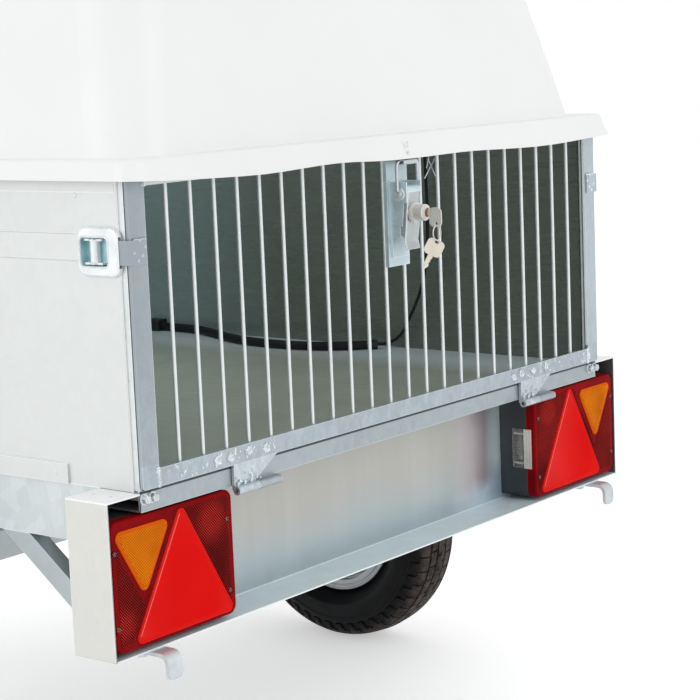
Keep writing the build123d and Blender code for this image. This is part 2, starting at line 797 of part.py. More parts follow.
def rim():
    """Right pressed rim with its disc, hub, dust cap and wheel nuts; the outside is towards +X."""
    y = axle_station
    z = tyre_radius
    half = tyre_width / 2 * 0.62
    seat = rim_radius - rim_flange_height
    left = wheel_mid - half
    right = wheel_mid + half
    well = rod_x(left - rim_flange_width, right + rim_flange_width, y, z, seat - rim_sheet)
    result = rod_x(left, right, y, z, seat)
    for edge in (left - rim_flange_width / 2, right + rim_flange_width / 2):
        result = result + rod_x(edge - rim_flange_width / 2, edge + rim_flange_width / 2, y, z, rim_radius)
    result = result - well
    disc_x = wheel_mid + 8
    disc = rod_x(disc_x - 2, disc_x + 2, y, z, seat - 1)
    wheel_axis = Axis((wheel_mid, y, z), (1, 0, 0))
    slot = rod_x(disc_x - 5, disc_x + 5, y, z + 78, 9)
    for i in range(8):
        disc = disc - slot.rotate(wheel_axis, 45 * i)
    flange = rod_x(disc_x - 8, disc_x + 2, y, z, hub_flange_radius)
    hub_inner = disc_x - 34
    hub = rod_x(hub_inner, disc_x + 26, y, z, hub_radius)
    bore = rod_x(hub_inner - 1, disc_x + 18, y, z, stub_radius + stub_clearance)
    result = result + disc + flange + hub - bore
    nut = rod_x(disc_x - 6, disc_x + 14, y, z + wheel_nut_circle, 8)
    for i in range(4):
        result = result + nut.rotate(wheel_axis, 45 + 90 * i)
    return result


# ---------------------------------------------------------------- rear light pieces
def light_board():
    """Folded board across the rear, open to the rear, with a top flange only outside the body."""
    half = board_half_width
    back = block(-half, half, board_front - board_sheet, board_front, board_bottom, floor_bottom - 0.5)
    foot = block(-half, half, board_rear, board_front, board_bottom, board_bottom + board_sheet)
    end = block(half - board_sheet, half, board_rear, board_front, board_bottom, board_top)
    ear_inner = wall_x + board_ear_gap
    ear = block(ear_inner, half, board_front - board_sheet, board_front, floor_bottom - 1, board_top)
    top = block(ear_inner, half, board_rear, board_front, board_top - board_sheet, board_top)
    wing = end + top + ear
    return back + foot + wing + mirrored(wing)


def light_board_stay():
    """Right diagonal channel from the chassis rail down to the foot of the light board."""
    slope = tan(radians(stay_pitch))
    upper = board_bottom + stay_rise
    lower = upper - stay_height
    upper_end = board_front + (rail_bottom - upper) / slope
    lower_end = board_front + (rail_bottom - lower) / slope
    lower_start = board_front + (board_bottom - lower) / slope
    flange = stay_sheet * 1.25
    web = prism_x(
        [(board_front, board_bottom), (board_front, upper), (upper_end, rail_bottom),
         (lower_end, rail_bottom), (lower_start, board_bottom)],
        wall_x - stay_sheet, wall_x,
    )
    top = prism_x(
        [(board_front, upper - flange), (board_front, upper), (upper_end, rail_bottom),
         (upper_end + flange / slope, rail_bottom)],
        wall_x - stay_width, wall_x,
    )
    bottom = prism_x(
        [(lower_start, board_bottom), (lower_end, rail_bottom), (lower_end - flange / slope, rail_bottom),
         (lower_start - flange / slope, board_bottom)],
        wall_x - stay_width / 2, wall_x,
    )
    return web + top + bottom


def rear_hook():
    """Right flat hook under the light board, running back and curling down."""
    x0 = hook_x - hook_width / 2
    x1 = hook_x + hook_width / 2
    top = board_bottom
    bend_y = hook_rear + hook_bend
    flat = block(x0, x1, bend_y, board_rear + hook_overlap, top - hook_thickness, top)
    ring = rod_x(x0, x1, bend_y, top - hook_bend, hook_bend)
    ring = ring - rod_x(x0 - 1, x1 + 1, bend_y, top - hook_bend, hook_bend - hook_thickness)
    quarter = ring & block(x0, x1, hook_rear, bend_y, top - hook_bend, top)
    tail = block(x0, x1, hook_rear, hook_rear + hook_thickness, top - hook_drop, top - hook_bend)
    tail = fillet(tail.edges().filter_by(Axis.Y).group_by(Axis.Z)[0], hook_end_radius)
    bolt = rod_z(top - hook_thickness - 4, top - hook_thickness, hook_x, board_rear + 26, 6)
    return flat + quarter + tail + bolt


def lamp_housing(inner):
    """Black housing between a lens and the light board, on the right of the trailer."""
    shell = block(inner, lamp_outer, lens_back, board_front - board_sheet - 0.3, lamp_bottom, lamp_top)
    return fillet(shell.edges().filter_by(Axis.Y), 8)


def plate_light_pocket():
    """Pocket in the inner side of the right lamp for the number-plate light."""
    side = lamp_right_inner
    return block(side - 1, side + window_pocket, window_rear, window_front, window_bottom, window_top)


def plate_light_lens():
    """Clear window over the pocket of the number-plate light."""
    fit = 0.3
    window = block(
        lamp_right_inner - 1.5, lamp_right_inner + 1.5, window_rear + fit, window_front - fit,
        window_bottom + fit, window_top - fit,
    )
    return fillet(window.edges().filter_by(Axis.X), 3)


def lamp_lens(inner):
    """Red lens with rounded corners, on the right of the trailer."""
    lens = block(inner, lamp_outer, lens_front, lens_back, lamp_bottom, lamp_top)
    lens = fillet(lens.edges().filter_by(Axis.Y), lens_corner)
    return fillet(lens.faces().sort_by(Axis.Y)[0].edges(), 3)


def rounded_triangle(centre_x, base_z, side, tip_side, thickness, radius):
    """Plate with three equal sides in front of the lens; tip_side is +1 for a tip that points up."""
    tip_z = base_z + tip_side * side * 0.866
    corners = [(centre_x - side / 2, base_z), (centre_x + side / 2, base_z), (centre_x, tip_z)]
    front = lens_front - marker_gap
    return fillet(prism_y(corners, front - thickness, front).edges().filter_by(Axis.Y), radius)


def triangle_reflector(centre_x):
    return rounded_triangle(centre_x, lamp_bottom + reflector_rise, reflector_side, 1, reflector_thickness, 7)


def indicator_lens(centre_x):
    return rounded_triangle(centre_x, lamp_top - indicator_drop, indicator_side, -1, indicator_thickness, 8)


# ---------------------------------------------------------------- side latches
def latch_pan():
    """Right latch pan: a bulged rim on the wall, a cup behind it and a mouth for the keeper."""
    y = latch_centre_station
    z = latch_centre_height
    rim_plate = rounded_plate_x(
        wall_x, wall_x + latch_rim_thickness, y, z, latch_pan_length, latch_pan_height, 15
    )
    rim_plate = fillet(rim_plate.faces().sort_by(Axis.X)[-1].edges(), 4.5)
    cup_y = y + latch_cup_shift
    floor = wall_x - latch_pan_depth
    cup = rounded_plate_x(floor, wall_x, cup_y, z, latch_cup_length, latch_cup_height, 7)
    hollow = rounded_plate_x(
        floor + latch_pan_sheet, wall_x + latch_rim_thickness + 1, cup_y, z,
        latch_cup_length - 2 * latch_pan_sheet, latch_cup_height - 2 * latch_pan_sheet, 6,
    )
    mouth_half = keeper_height / 2 + 4
    mouth = block(
        wall_x + 0.5, wall_x + latch_rim_thickness - latch_rim_skin, y - latch_pan_length / 2 - 2, cup_y,
        z - mouth_half, z + mouth_half,
    )
    return rim_plate + cup - hollow - mouth


def latch_side_lever():
    """Right latch lever: an upright roller between two lugs, with a thumb plate."""
    x = wall_x - 1.2
    y = latch_centre_station + latch_cup_shift + 4
    z = latch_centre_height
    lug = 2.5
    half = 12.5
    roller = rod_z(z - half, z + half, x, y, latch_roller_radius)
    low = block(x - 5.9, x + 4, y - 14, y + 14, z - half - lug, z - half)
    high = block(x - 5.9, x + 4, y - 14, y + 14, z + half, z + half + lug)
    plate = block(x - 5.9, x - 3.9, y - 14, y + 14, z - half - lug, z + half + lug)
    return roller + low + high + plate


# ---------------------------------------------------------------- hose and cable pieces
def cable_clips():
    """Clip at the hose's front end, sleeve between hose and cable, and clip at the cable's top."""
    front_x, front_y, front_z = hose_points[0]
    top_x, top_y, top_z = cable_points[-1]
    front = block(front_x - 12, lining_x, front_y, front_y + 30, floor_top, front_z + 12)
    front = fillet(front.edges().filter_by(Axis.Y).group_by(Axis.Z)[-1].sort_by(Axis.X)[0], 6)
    top = block(top_x - 9, lining_x, top_y - 12, top_y + 12, top_z, top_z + 16)
    top = fillet(top.edges().filter_by(Axis.Z).group_by(Axis.X)[0], 5)
    middle = sleeve_start + sleeve_direction * (sleeve_length / 2)
    sleeve = Plane(middle, z_dir=sleeve_direction) * Cylinder(sleeve_radius, sleeve_length)
    return [front, sleeve, top]


# ---------------------------------------------------------------- lid
def rounded_block(half_x, y0, y1, radius, z0, z1):
    outline = Pos(0, (y0 + y1) / 2, z0) * RectangleRounded(2 * half_x, y1 - y0, radius)
    return extrude(outline, amount=z1 - z0, dir=(0, 0, 1))


def hood_inset(height):
    """How far the hood's wall has leaned in at a height above its ledge."""
    return hood_lean * height


def hood_body(offset, top, base):
    """Bulging hood between the ledge and its crown, shrunk by an offset."""
    sections = []
    for level in (base, 60.0, 130.0, 200.0, top):
        inset = hood_ledge + hood_inset(max(level, 0)) + offset
        y0 = lip_rear + inset
        y1 = lid_front - inset
        outline = RectangleRounded(2 * (lip_half_width - inset), y1 - y0, hood_corner_radius)
        sections.append(Pos(0, (y0 + y1) / 2, lip_top + level) * outline)
    hood = loft(sections)
    return fillet(hood.faces().sort_by(Axis.Z)[-1].edges(), hood_crown_radius)


def lip_block(offset, z0, z1):
    """Lip's outline between two heights, shrunk by an offset; only its front stays upright."""
    sections = []
    for z in (z0, z1):
        lean = lip_lean * (z - lip_bottom) / lip_height
        half = lip_half_width - offset - lean
        y0 = lip_rear + offset + lean
        y1 = lid_front - offset
        outline = RectangleRounded(2 * half, y1 - y0, lip_corner_radius - offset)
        sections.append(Pos(0, (y0 + y1) / 2, z) * outline)
    return loft(sections, ruled=True)


def lip_edge_cut():
    """Everything under the lip's slightly uneven lower edge."""
    y0 = lip_rear - 20
    stretch = (lip_half_width + 20) / lip_edge_rise[-1][0]
    points = [(x * stretch, y0, lip_bottom + rise) for x, rise in lip_edge_rise]
    low = lip_bottom - 40
    ends = Polyline(points[-1], (points[-1][0], y0, low), (points[0][0], y0, low), points[0])
    return extrude(make_face(Spline(*points) + ends), amount=lid_front - lip_rear + 60, dir=(0, 1, 0))


def lid_shell():
    """Moulded lid: downturned lip with a slightly uneven lower edge, ledge and hollow hood."""
    lip = lip_block(0, lip_bottom - 8, lip_top)
    lip = fillet(lip.faces().sort_by(Axis.Z)[-1].edges(), 5)
    inner = lip_block(lid_thickness, lip_bottom - 20, lip_top - lid_thickness)
    hood = hood_body(0, hood_height, -lid_thickness)
    cavity = hood_body(lid_thickness, hood_height - lid_thickness, -2 * lid_thickness)
    return lip - inner + hood - cavity - lip_edge_cut()


def lid_catch():
    """Hook under the lid's ledge that the latch's wire loop pulls on, seen below the lip."""
    low = bail_top - lever_pin_radius - 0.4 - catch_sheet
    leg = block(-catch_half, catch_half, catch_front - catch_sheet, catch_front, low, lip_top - lid_thickness - 0.3)
    foot = block(-catch_half, catch_half, catch_rear, catch_front, low, low + catch_sheet)
    curl = block(-catch_half, catch_half, catch_rear, catch_rear + catch_sheet, low, low + 5)
    return leg + foot + curl


def lid_hinge_leaf(centre_x):
    """Lid's half of one front hinge: a leaf on the lip with two knuckles."""
    y = lid_axis_station
    z = lid_axis_height
    gap_half = lid_knuckle_half + 0.5
    low = centre_x - lid_hinge_half
    high = centre_x + lid_hinge_half
    leaf = block(low, high, lid_front + 0.3, lid_front + 0.3 + lid_hinge_sheet, z + 2, lip_top - 6)
    notch = block(centre_x - gap_half, centre_x + gap_half, lid_front - 5, lid_front + 20, z - 20, z + 9)
    knuckles = rod_x(low, centre_x - gap_half, y, z, lid_tube_radius)
    knuckles = knuckles + rod_x(centre_x + gap_half, high, y, z, lid_tube_radius)
    bore = rod_x(low - 6, high + 6, y, z, lid_pin_radius + pin_clearance)
    return leaf - notch + knuckles - bore


def lid_hinge_base(centre_x):
    """Fixed half of one front hinge on the front wall, with its knuckle and pin."""
    y = lid_axis_station
    z = lid_axis_height
    low = centre_x - lid_knuckle_half
    high = centre_x + lid_knuckle_half
    wall = body_length + 0.2
    top = z - lid_tube_radius + 0.5
    knuckle = rod_x(low, high, y, z, lid_tube_radius)
    arm = block(low, high, wall, y, top - 3.5, top)
    back = block(low, high, wall, wall + lid_hinge_sheet, top - 40, top)
    pin = rod_x(centre_x - lid_hinge_half, centre_x + lid_hinge_half, y, z, lid_pin_radius)
    return knuckle + arm + back + pin


# ---------------------------------------------------------------- drawbar pieces
def drawbar():
    """Square tube from behind the axle to the coupling, open at both ends."""
    start = torsion_station - drawbar_tail
    end = ball_station - coupling_nose - 20
    half = drawbar_size / 2
    tube = block(-half, half, start, end, drawbar_bottom, drawbar_top)
    bore = block(
        -half + drawbar_wall, half - drawbar_wall, start - 1, end + 1,
        drawbar_bottom + drawbar_wall, drawbar_top - drawbar_wall,
    )
    return fillet(tube.edges().filter_by(Axis.Y), 4) - bore


def coupling_head():
    """Ball coupling: shank round the drawbar's end and a domed head over the ball."""
    y = ball_station
    z = ball_height
    half = drawbar_size / 2
    shank = block(-half - 4, half + 4, y - 150, y - 30, drawbar_bottom - 4, drawbar_top + 4)
    shank = fillet(shank.edges().filter_by(Axis.Y), 7)
    seat = block(
        -half - 0.2, half + 0.2, y - 160, y - coupling_nose - 19.8, drawbar_bottom - 0.2, drawbar_top + 0.2
    )
    dome = Pos(0, y, z) * Sphere(coupling_nose) & block(-60, 60, y - 60, y + 60, z - 1, z + 60)
    skirt = rod_z(z - coupling_skirt, z, 0, y, coupling_nose)
    boss = rod_z(z, drawbar_top + 4, 0, y - 6, 26)
    neck = block(-32, 32, y - 40, y, z - 20, drawbar_top + 2)
    socket = Pos(0, y, z) * Sphere(coupling_ball_radius + coupling_ball_clearance)
    mouth = rod_z(z - 60, z, 0, y, coupling_ball_radius + coupling_ball_clearance)
    return shank + neck + skirt + dome + boss - seat - socket - mouth


def coupling_handle():
    """Lift handle on top of the coupling."""
    y = ball_station
    z = drawbar_top + 4.3
    grip = fillet(block(-13, 13, y - 118, y + 6, z + 26, z + 38).edges(), 5)
    cheek = block(-15, -11, y - 30, y + 2, z, z + 36)
    pin = rod_x(-15, 15, y - 14, z + 20, 4)
    foot = block(-15, 15, y - 30, y + 2, z, z + 4)
    return grip + cheek + mirrored(cheek) + pin + foot


def jockey_clamp():
    """Clamp on the drawbar's right side that holds the jockey wheel's tube."""
    x = jockey_x
    y = jockey_station
    low = drawbar_bottom - 4
    high = drawbar_top + 4
    middle = (low + high) / 2
    half = drawbar_size / 2
    tube_side = x + jockey_tube_radius
    collar = rod_z(low, high, x, y, jockey_tube_radius + 6)
    bore = rod_z(low - 1, high + 1, x, y, jockey_tube_radius + 0.15)
    plate = block(half + 0.2, half + 5.2, y - 42, y + 42, low, high)
    web = block(half + 5.2, x - jockey_tube_radius - 3, y - 12, y + 12, low, high)
    ear = block(tube_side + 2, tube_side + 26, y - 9, y + 9, low + 18, high - 18)
    slot = block(tube_side - 4, tube_side + 30, y - 2, y + 2, low - 1, high + 1)
    screw = rod_y(y - 16, y + 60, tube_side + 17, middle, 5)
    lever = block(tube_side + 12, tube_side + 22, y + 50, y + 60, middle - 60, middle + 5)
    return collar + plate + web + ear - bore - slot + screw + lever


def jockey_tube():
    """Outer tube of the jockey wheel, closed at the top where the crank goes in."""
    bottom = jockey_fork_top + 12
    tube = rod_z(bottom, jockey_top, jockey_x, jockey_station, jockey_tube_radius)
    bore = rod_z(
        bottom - 1, jockey_top - 20, jockey_x, jockey_station, jockey_tube_radius - jockey_tube_wall
    )
    cap = rod_z(jockey_top - 6, jockey_top + 4, jockey_x, jockey_station, jockey_tube_radius + 2)
    return tube - bore + cap


def jockey_crank():
    """Crank on top of the tube with its grip."""
    x = jockey_x
    y = jockey_station
    z = jockey_top + 4.2
    stem = rod_z(z, z + 22, x, y, 7)
    arm = prism_z([(x - 9, y), (x + 9, y), (x + 8, y - crank_reach), (x - 8, y - crank_reach)], z + 16, z + 22)
    arm = arm + rod_z(z + 16, z + 22, x, y, 9) + rod_z(z + 16, z + 22, x, y - crank_reach, 8)
    grip = fillet(rod_z(z + 22, z + 86, x, y - crank_reach, 10).edges(), 3)
    return stem + arm + grip


def jockey_fork():
    """Inner tube and fork that carry the jockey wheel."""
    x = jockey_x
    y = jockey_station
    top = jockey_fork_top
    axle_y = y - jockey_trail
    axle_z = jockey_wheel_radius
    inner = rod_z(top, top + 220, x, y, jockey_tube_radius - jockey_tube_wall - 0.4)
    crown = block(x - 36, x + 36, y - 24, y + 24, top - 5, top)
    leg = prism_x(
        [(y - 24, top), (y + 24, top), (axle_y + 15, axle_z - 6), (axle_y, axle_z - 16), (axle_y - 15, axle_z - 6)],
        x + 31, x + 36,
    )
    axle = rod_x(x - 42, x + 42, axle_y, axle_z, jockey_axle_radius)
    other_leg = mirror(leg, Plane.YZ.offset(x))
    return inner + crown + leg + other_leg + axle


def jockey_wheel():
    """Solid rubber tyre of the jockey wheel."""
    x = jockey_x
    y = jockey_station - jockey_trail
    z = jockey_wheel_radius
    half = jockey_wheel_width / 2
    ring = fillet(rod_x(x - half, x + half, y, z, jockey_wheel_radius).edges(), 12)
    return ring - rod_x(x - half - 1, x + half + 1, y, z, jockey_rim_radius)


def jockey_hub():
    """Pressed rim and hub of the jockey wheel."""
    x = jockey_x
    y = jockey_station - jockey_trail
    z = jockey_wheel_radius
    half = jockey_wheel_width / 2
    ring = rod_x(x - half + 4, x + half - 4, y, z, jockey_rim_radius - 0.3)
    ring = ring - rod_x(x - half, x + half, y, z, jockey_rim_radius - 4)
    disc = rod_x(x - 3, x + 3, y, z, jockey_rim_radius - 2)
    hub = rod_x(x - half - 3, x + half + 3, y, z, 13)
    bore = rod_x(x - half - 5, x + half + 5, y, z, jockey_axle_radius + jockey_axle_clearance)
    return ring + disc + hub - bore


# ---------------------------------------------------------------- build
def build_tailgate():
    place("tailgate_frame", tailgate_frame())
    place("tailgate_bars", *tailgate_bars())
    place("tailgate_hinges", *[hinge_leaf(centre_x) for centre_x in hinge_centres])
    place("side_keepers", side_keeper(), mirrored(side_keeper()))
    place("lock_plate", lock_plate())
    place("latch_lever", latch_lever())
    place("latch_bail", latch_bail())
    place("lock_cylinder", lock_cylinder())
    place("key_ring", key_ring())
    place("spare_key", spare_key())


def build_body():
    place_pair("side_wall", side_wall())
    place_pair("lining", side_lining())
    place("front_wall", front_wall())
    place("lining_front", front_lining())
    place("rear_posts", rear_post(), mirrored(rear_post()))
    place("rear_sill", rear_sill())
    place("floor_board", floor_board())
    place_pair("chassis_rail", chassis_rail())
    place("cross_members", *cross_members())
    place("side_latch_pans", latch_pan(), mirrored(latch_pan()))
    place("side_latch_levers", latch_side_lever(), mirrored(latch_side_lever()))
    place("cable_clips", *cable_clips())
    place("floor_hose", cord_tube("floor_hose", hose_points, hose_radius))
    place("wall_cable", cord_tube("wall_cable", cable_points, cable_radius))


def build_rear_lights():
    place("light_board", light_board())
    place("light_board_stays", light_board_stay(), mirrored(light_board_stay()))
    place("rear_hooks", rear_hook(), mirrored(rear_hook()))
    place(
        "lamp_housings", lamp_housing(lamp_right_inner) - plate_light_pocket(),
        mirrored(lamp_housing(lamp_left_inner)),
    )
    place("lamp_lenses", lamp_lens(lamp_right_inner), mirrored(lamp_lens(lamp_left_inner)))
    place(
        "reflector_triangles", triangle_reflector(reflector_right_x),
        mirrored(triangle_reflector(reflector_left_x)),
    )
    place(
        "indicator_lenses", indicator_lens(indicator_right_x), mirrored(indicator_lens(indicator_left_x))
    )
    place("plate_light_lens", plate_light_lens())


def build_lid():
    place("lid_shell", lid_shell())
    place("lid_catch", lid_catch())
    place("lid_hinge_leaves", lid_hinge_leaf(-lid_hinge_x), lid_hinge_leaf(lid_hinge_x))
    place("lid_hinge_bases", lid_hinge_base(-lid_hinge_x), lid_hinge_base(lid_hinge_x))


def build_running_gear():
    place("axle_beam", axle_beam())
    place("trailing_arms", trailing_arm(), mirrored(trailing_arm()))
    place_pair("mudguard", mudguard())
    place_pair("tyre", tyre())
    place_pair("rim", rim())


def build_drawbar():
    place("drawbar", drawbar())
    place("coupling_head", coupling_head())
    place("coupling_handle", coupling_handle())
    place("jockey_clamp", jockey_clamp())
    place("jockey_tube", jockey_tube())
    place("jockey_crank", jockey_crank())
    place("jockey_fork", jockey_fork())
    place("jockey_wheel", jockey_wheel())
    place("jockey_hub", jockey_hub())


build_tailgate()
build_body()
build_rear_lights()
build_lid()
build_running_gear()
build_drawbar()
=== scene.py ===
"""Galvanised dog trailer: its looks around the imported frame. Metres, in the CAD's own frame."""
import json
import random
from math import ceil, cos, floor, pi, radians, sin, tan

import bmesh
import bpy
from mathutils import Matrix, Vector


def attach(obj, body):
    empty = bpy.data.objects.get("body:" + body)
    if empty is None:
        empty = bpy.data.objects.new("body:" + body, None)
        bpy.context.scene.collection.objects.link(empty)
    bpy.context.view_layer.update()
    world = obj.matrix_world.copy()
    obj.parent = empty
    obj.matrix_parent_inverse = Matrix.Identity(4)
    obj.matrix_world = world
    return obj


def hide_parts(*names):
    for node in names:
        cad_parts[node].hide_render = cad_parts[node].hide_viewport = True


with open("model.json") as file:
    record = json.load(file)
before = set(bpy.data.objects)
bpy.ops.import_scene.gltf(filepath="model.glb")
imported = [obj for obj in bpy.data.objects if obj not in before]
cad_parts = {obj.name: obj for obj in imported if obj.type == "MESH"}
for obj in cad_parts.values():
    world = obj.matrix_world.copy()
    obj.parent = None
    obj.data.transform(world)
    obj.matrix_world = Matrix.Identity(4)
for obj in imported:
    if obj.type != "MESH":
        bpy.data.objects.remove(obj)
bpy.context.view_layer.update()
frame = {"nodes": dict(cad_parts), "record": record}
nodes = frame["nodes"]
scene = bpy.context.scene
scene.view_settings.view_transform = "Standard"

MIDDLE = 0.995  # stations are measured from the tailgate's rear face, this far behind the origin
MM = 0.001


def at(x, station, z):
    """A point given in millimetres from the tailgate's rear face, in the part's frame."""
    return Vector((x * MM, station * MM - MIDDLE, z * MM))


def placed(name, data):
    """A new object in the scene."""
    made = bpy.data.objects.new(name, data)
    scene.collection.objects.link(made)
    return made


# ---- measures of the CAD model in millimetres, stations counted from the tailgate's rear face
RAIL_TOP = 580  # just above the tailgate's bottom rail
STILE_INNER = 482
GATE_BARS, BAR_PITCH = 22, 2 * STILE_INNER / 23
GATE_FACE = 0
WALL_FACE = 510.5
FLOOR_LEVEL = 559
LENS_FACE, LENS_BOTTOM, LENS_TOP, LENS_OUTER = 6, 367, 522.9, 562
LENS_INNER = 334  # right lamp
WHEEL_MID, WHEEL_STATION, WHEEL_HEIGHT = 608.5, 586, 210
JOCKEY_X, JOCKEY_STATION = 68, 1660

# ---- camera
camera_data = bpy.data.cameras.new("camera")
camera_data.lens = 101.02
camera_data.sensor_width = 36
camera = placed("camera", camera_data)
yaw, pitch, roll = 0.9068437, 0.1526620, -0.0403672
forward = Vector((sin(yaw) * cos(pitch), cos(yaw) * cos(pitch), -sin(pitch)))
level = Vector((cos(yaw), -sin(yaw), 0))
upright = level.cross(forward)
side = level * cos(roll) + upright * sin(roll)
over = upright * cos(roll) - level * sin(roll)
camera.matrix_world = Matrix.Translation((-2.1028, -2.5514, 1.0476)) @ Matrix(
    (side, over, -forward)
).transposed().to_4x4()
scene.camera = camera


# ---- finishes
def srgb(code):
    """Linear colour of a #rrggbb code."""
    parts = [int(code[i:i + 2], 16) / 255 for i in (1, 3, 5)]
    return tuple(c / 12.92 if c <= 0.04045 else ((c + 0.055) / 1.055) ** 2.4 for c in parts) + (1,)


def shades(code, *factors):
    """Darker and lighter versions of a colour."""
    return [tuple(min(1, c * factor) for c in srgb(code)[:3]) + (1,) for factor in factors]


class Graph:
    """The nodes of a material or of the world."""

    def __init__(self, owner, shader):
        owner.use_nodes = True
        self.nodes, self.links = owner.node_tree.nodes, owner.node_tree.links
        self.inputs = self.nodes[shader].inputs

    def add(self, kind, inputs={}, **settings):
        node = self.nodes.new("ShaderNode" + kind)
        for label, value in settings.items():
            setattr(node, label, value)
        for key, value in inputs.items():
            if isinstance(value, bpy.types.NodeSocket):
                self.links.new(value, node.inputs[key])
            else:
                node.inputs[key].default_value = value
        return node

    def calc(self, operation, a, b=0, clamp=False):
        return self.add("Math", {0: a, 1: b}, operation=operation, use_clamp=clamp).outputs[0]

    def spread(self, value, low, high, start=0, end=1):
        """From low to high while a value runs from start to end."""
        inputs = {"Value": value, "From Min": start, "From Max": end, "To Min": low, "To Max": high}
        return self.add("MapRange", inputs).outputs["Result"]

    def seen_directly(self):
        """1 for camera, glossy and transmission rays."""
        rays = self.add("LightPath").outputs
        seen = self.calc("ADD", rays["Is Camera Ray"], rays["Is Glossy Ray"], True)
        return self.calc("ADD", seen, rays["Is Transmission Ray"], True)

    def drive(self, label, value):
        """Feeds an input of the shader."""
        self.links.new(value, self.inputs[label])


class Finish(Graph):
    """One procedural material: a Principled shader and the nodes that feed it."""

    def __init__(self, name, metal=0, **sockets):
        self.material = bpy.data.materials.new(name)
        super().__init__(self.material, "Principled BSDF")
        self.inputs["Metallic"].default_value = metal
        for label, value in sockets.items():
            self.inputs[label.replace("_", " ")].default_value = value
        self.place = self.add("TexCoord").outputs["Object"]

    def noise(self, scale, detail=3, rough=0.5, stretch=None):
        """Fractal noise; stretch scales the surface's place along each axis first."""
        place = self.place
        if stretch:
            place = self.add("Mapping", dict(Vector=place, Scale=stretch)).outputs["Vector"]
        return self.add("TexNoise", dict(Vector=place, Scale=scale, Detail=detail, Roughness=rough)).outputs["Fac"]

    def cells(self, scale):
        """A different grey for each cell."""
        colour = self.add("TexVoronoi", dict(Vector=self.place, Scale=scale)).outputs["Color"]
        return self.add("RGBToBW", dict(Color=colour)).outputs["Val"]

    def times(self, product, *factors):
        for factor in factors:
            product = self.calc("MULTIPLY", product, factor)
        return product

    def away(self, value, middle=0):
        """Distance of a value from the middle."""
        return self.calc("ABSOLUTE", self.calc("SUBTRACT", value, middle) if middle else value)

    def distance(self, a, middle_a, b, middle_b):
        """Distance from a middle in the plane of two axes."""
        off_a, off_b = self.calc("SUBTRACT", a, middle_a), self.calc("SUBTRACT", b, middle_b)
        return self.calc("SQRT", self.calc("ADD", self.times(off_a, off_a), self.times(off_b, off_b)))

    def axes(self):
        return self.add("SeparateXYZ", dict(Vector=self.place)).outputs[:]

    def mix(self, factor, *colours):
        """Blend of two colours, each a #rrggbb code, a linear colour or a socket."""
        first, second = (srgb(c) if isinstance(c, str) else c for c in colours)
        return self.add("Mix", {0: factor, 6: first, 7: second}, data_type="RGBA").outputs[2]

    def tones(self, value, start, end, *colours):
        """From one colour where the value is at its start to another at its end."""
        return self.mix(self.spread(value, 0, 1, start, end), *colours)

    def colour(self, value):
        self.drive("Base Color", value)

    def rough(self, value, low=None, high=None, start=0.3, end=0.7):
        """Roughness from a value, as it is or from low to high."""
        self.drive("Roughness", value if low is None else self.spread(value, low, high, start, end))

    def edge(self, amount, radius=1.8):
        """An amount at sharp outer and inner edges and 0 away from them, radius in millimetres."""
        bent = self.add("Bevel", dict(Radius=radius * MM), samples=4).outputs["Normal"]
        true = self.add("NewGeometry").outputs["True Normal"]
        dot = self.add("VectorMath", {0: bent, 1: true}, operation="DOT_PRODUCT").outputs["Value"]
        return self.times(self.spread(dot, 1, 0, 0.8, 0.985), amount)

    def bump(self, height, strength, distance):
        """Adds one relief from a height or a noise's settings, its distance in millimetres."""
        if isinstance(height, tuple):
            height = self.noise(*height)
        node = self.add("Bump", dict(Height=height, Strength=strength, Distance=distance * MM))
        old = self.inputs["Normal"]
        if old.is_linked:
            self.links.new(old.links[0].from_socket, node.inputs["Normal"])
        self.drive("Normal", node.outputs["Normal"])
        return self


def galvanised(
    name, code, metal=0.75, rough=(0.34, 0.55), grain=85, contrast=0.05, relief=0.25, blotch=0, gap_shadow_level=None,
    wear_and_highlight=0.9, stiles=False,
):
    """Zinc-coated sheet: faint crystals, clouds of tone, rolling lines, and edges painted bright as painted
    highlights.
    """
    f = Finish(name, metal)
    tone, fine = zinc_tone(f, grain)
    shade = f.tones(tone, 0.25, 0.75, *shades(code, 1 - 2 * contrast, 1 + contrast))
    if blotch:
        smear = f.noise(95, 4, 0.65, (1, 1, 0.55))
        dark, light, crystal = shades(code, 0.68, 1.35, 1.45)
        shade = f.mix(f.spread(smear, 0, blotch, 0.5, 0.75), shade, light)
        shade = f.mix(f.spread(smear, blotch * 0.8, 0, 0.25, 0.45), shade, dark)
        spangle = f.noise(330, 2, 0.6)
        shade = f.mix(f.spread(spangle, 0, blotch * 0.7, 0.6, 0.75), shade, crystal)
        f.bump(smear, 0.5, 0.25)
    # painted highlight: the sheet's edges are painted paler, as if they caught the light
    shade = f.mix(f.edge(wear_and_highlight), shade, *shades(code, 1.7))
    if stiles:
        shade = stile_tones(f, shade, code, metal)
    if gap_shadow_level:  # painted shadow of the gap where the sheet meets the one above it
        gap_shade = f.spread(f.axes()[2], 0, 0.9, gap_shadow_level - 0.0006, gap_shadow_level + 0.0002)
        shade = f.mix(gap_shade, shade, "#25292c")
    f.colour(shade)
    f.rough(tone, *rough)
    return f.bump(fine, relief, 0.03).bump((30,), relief, 0.12).material


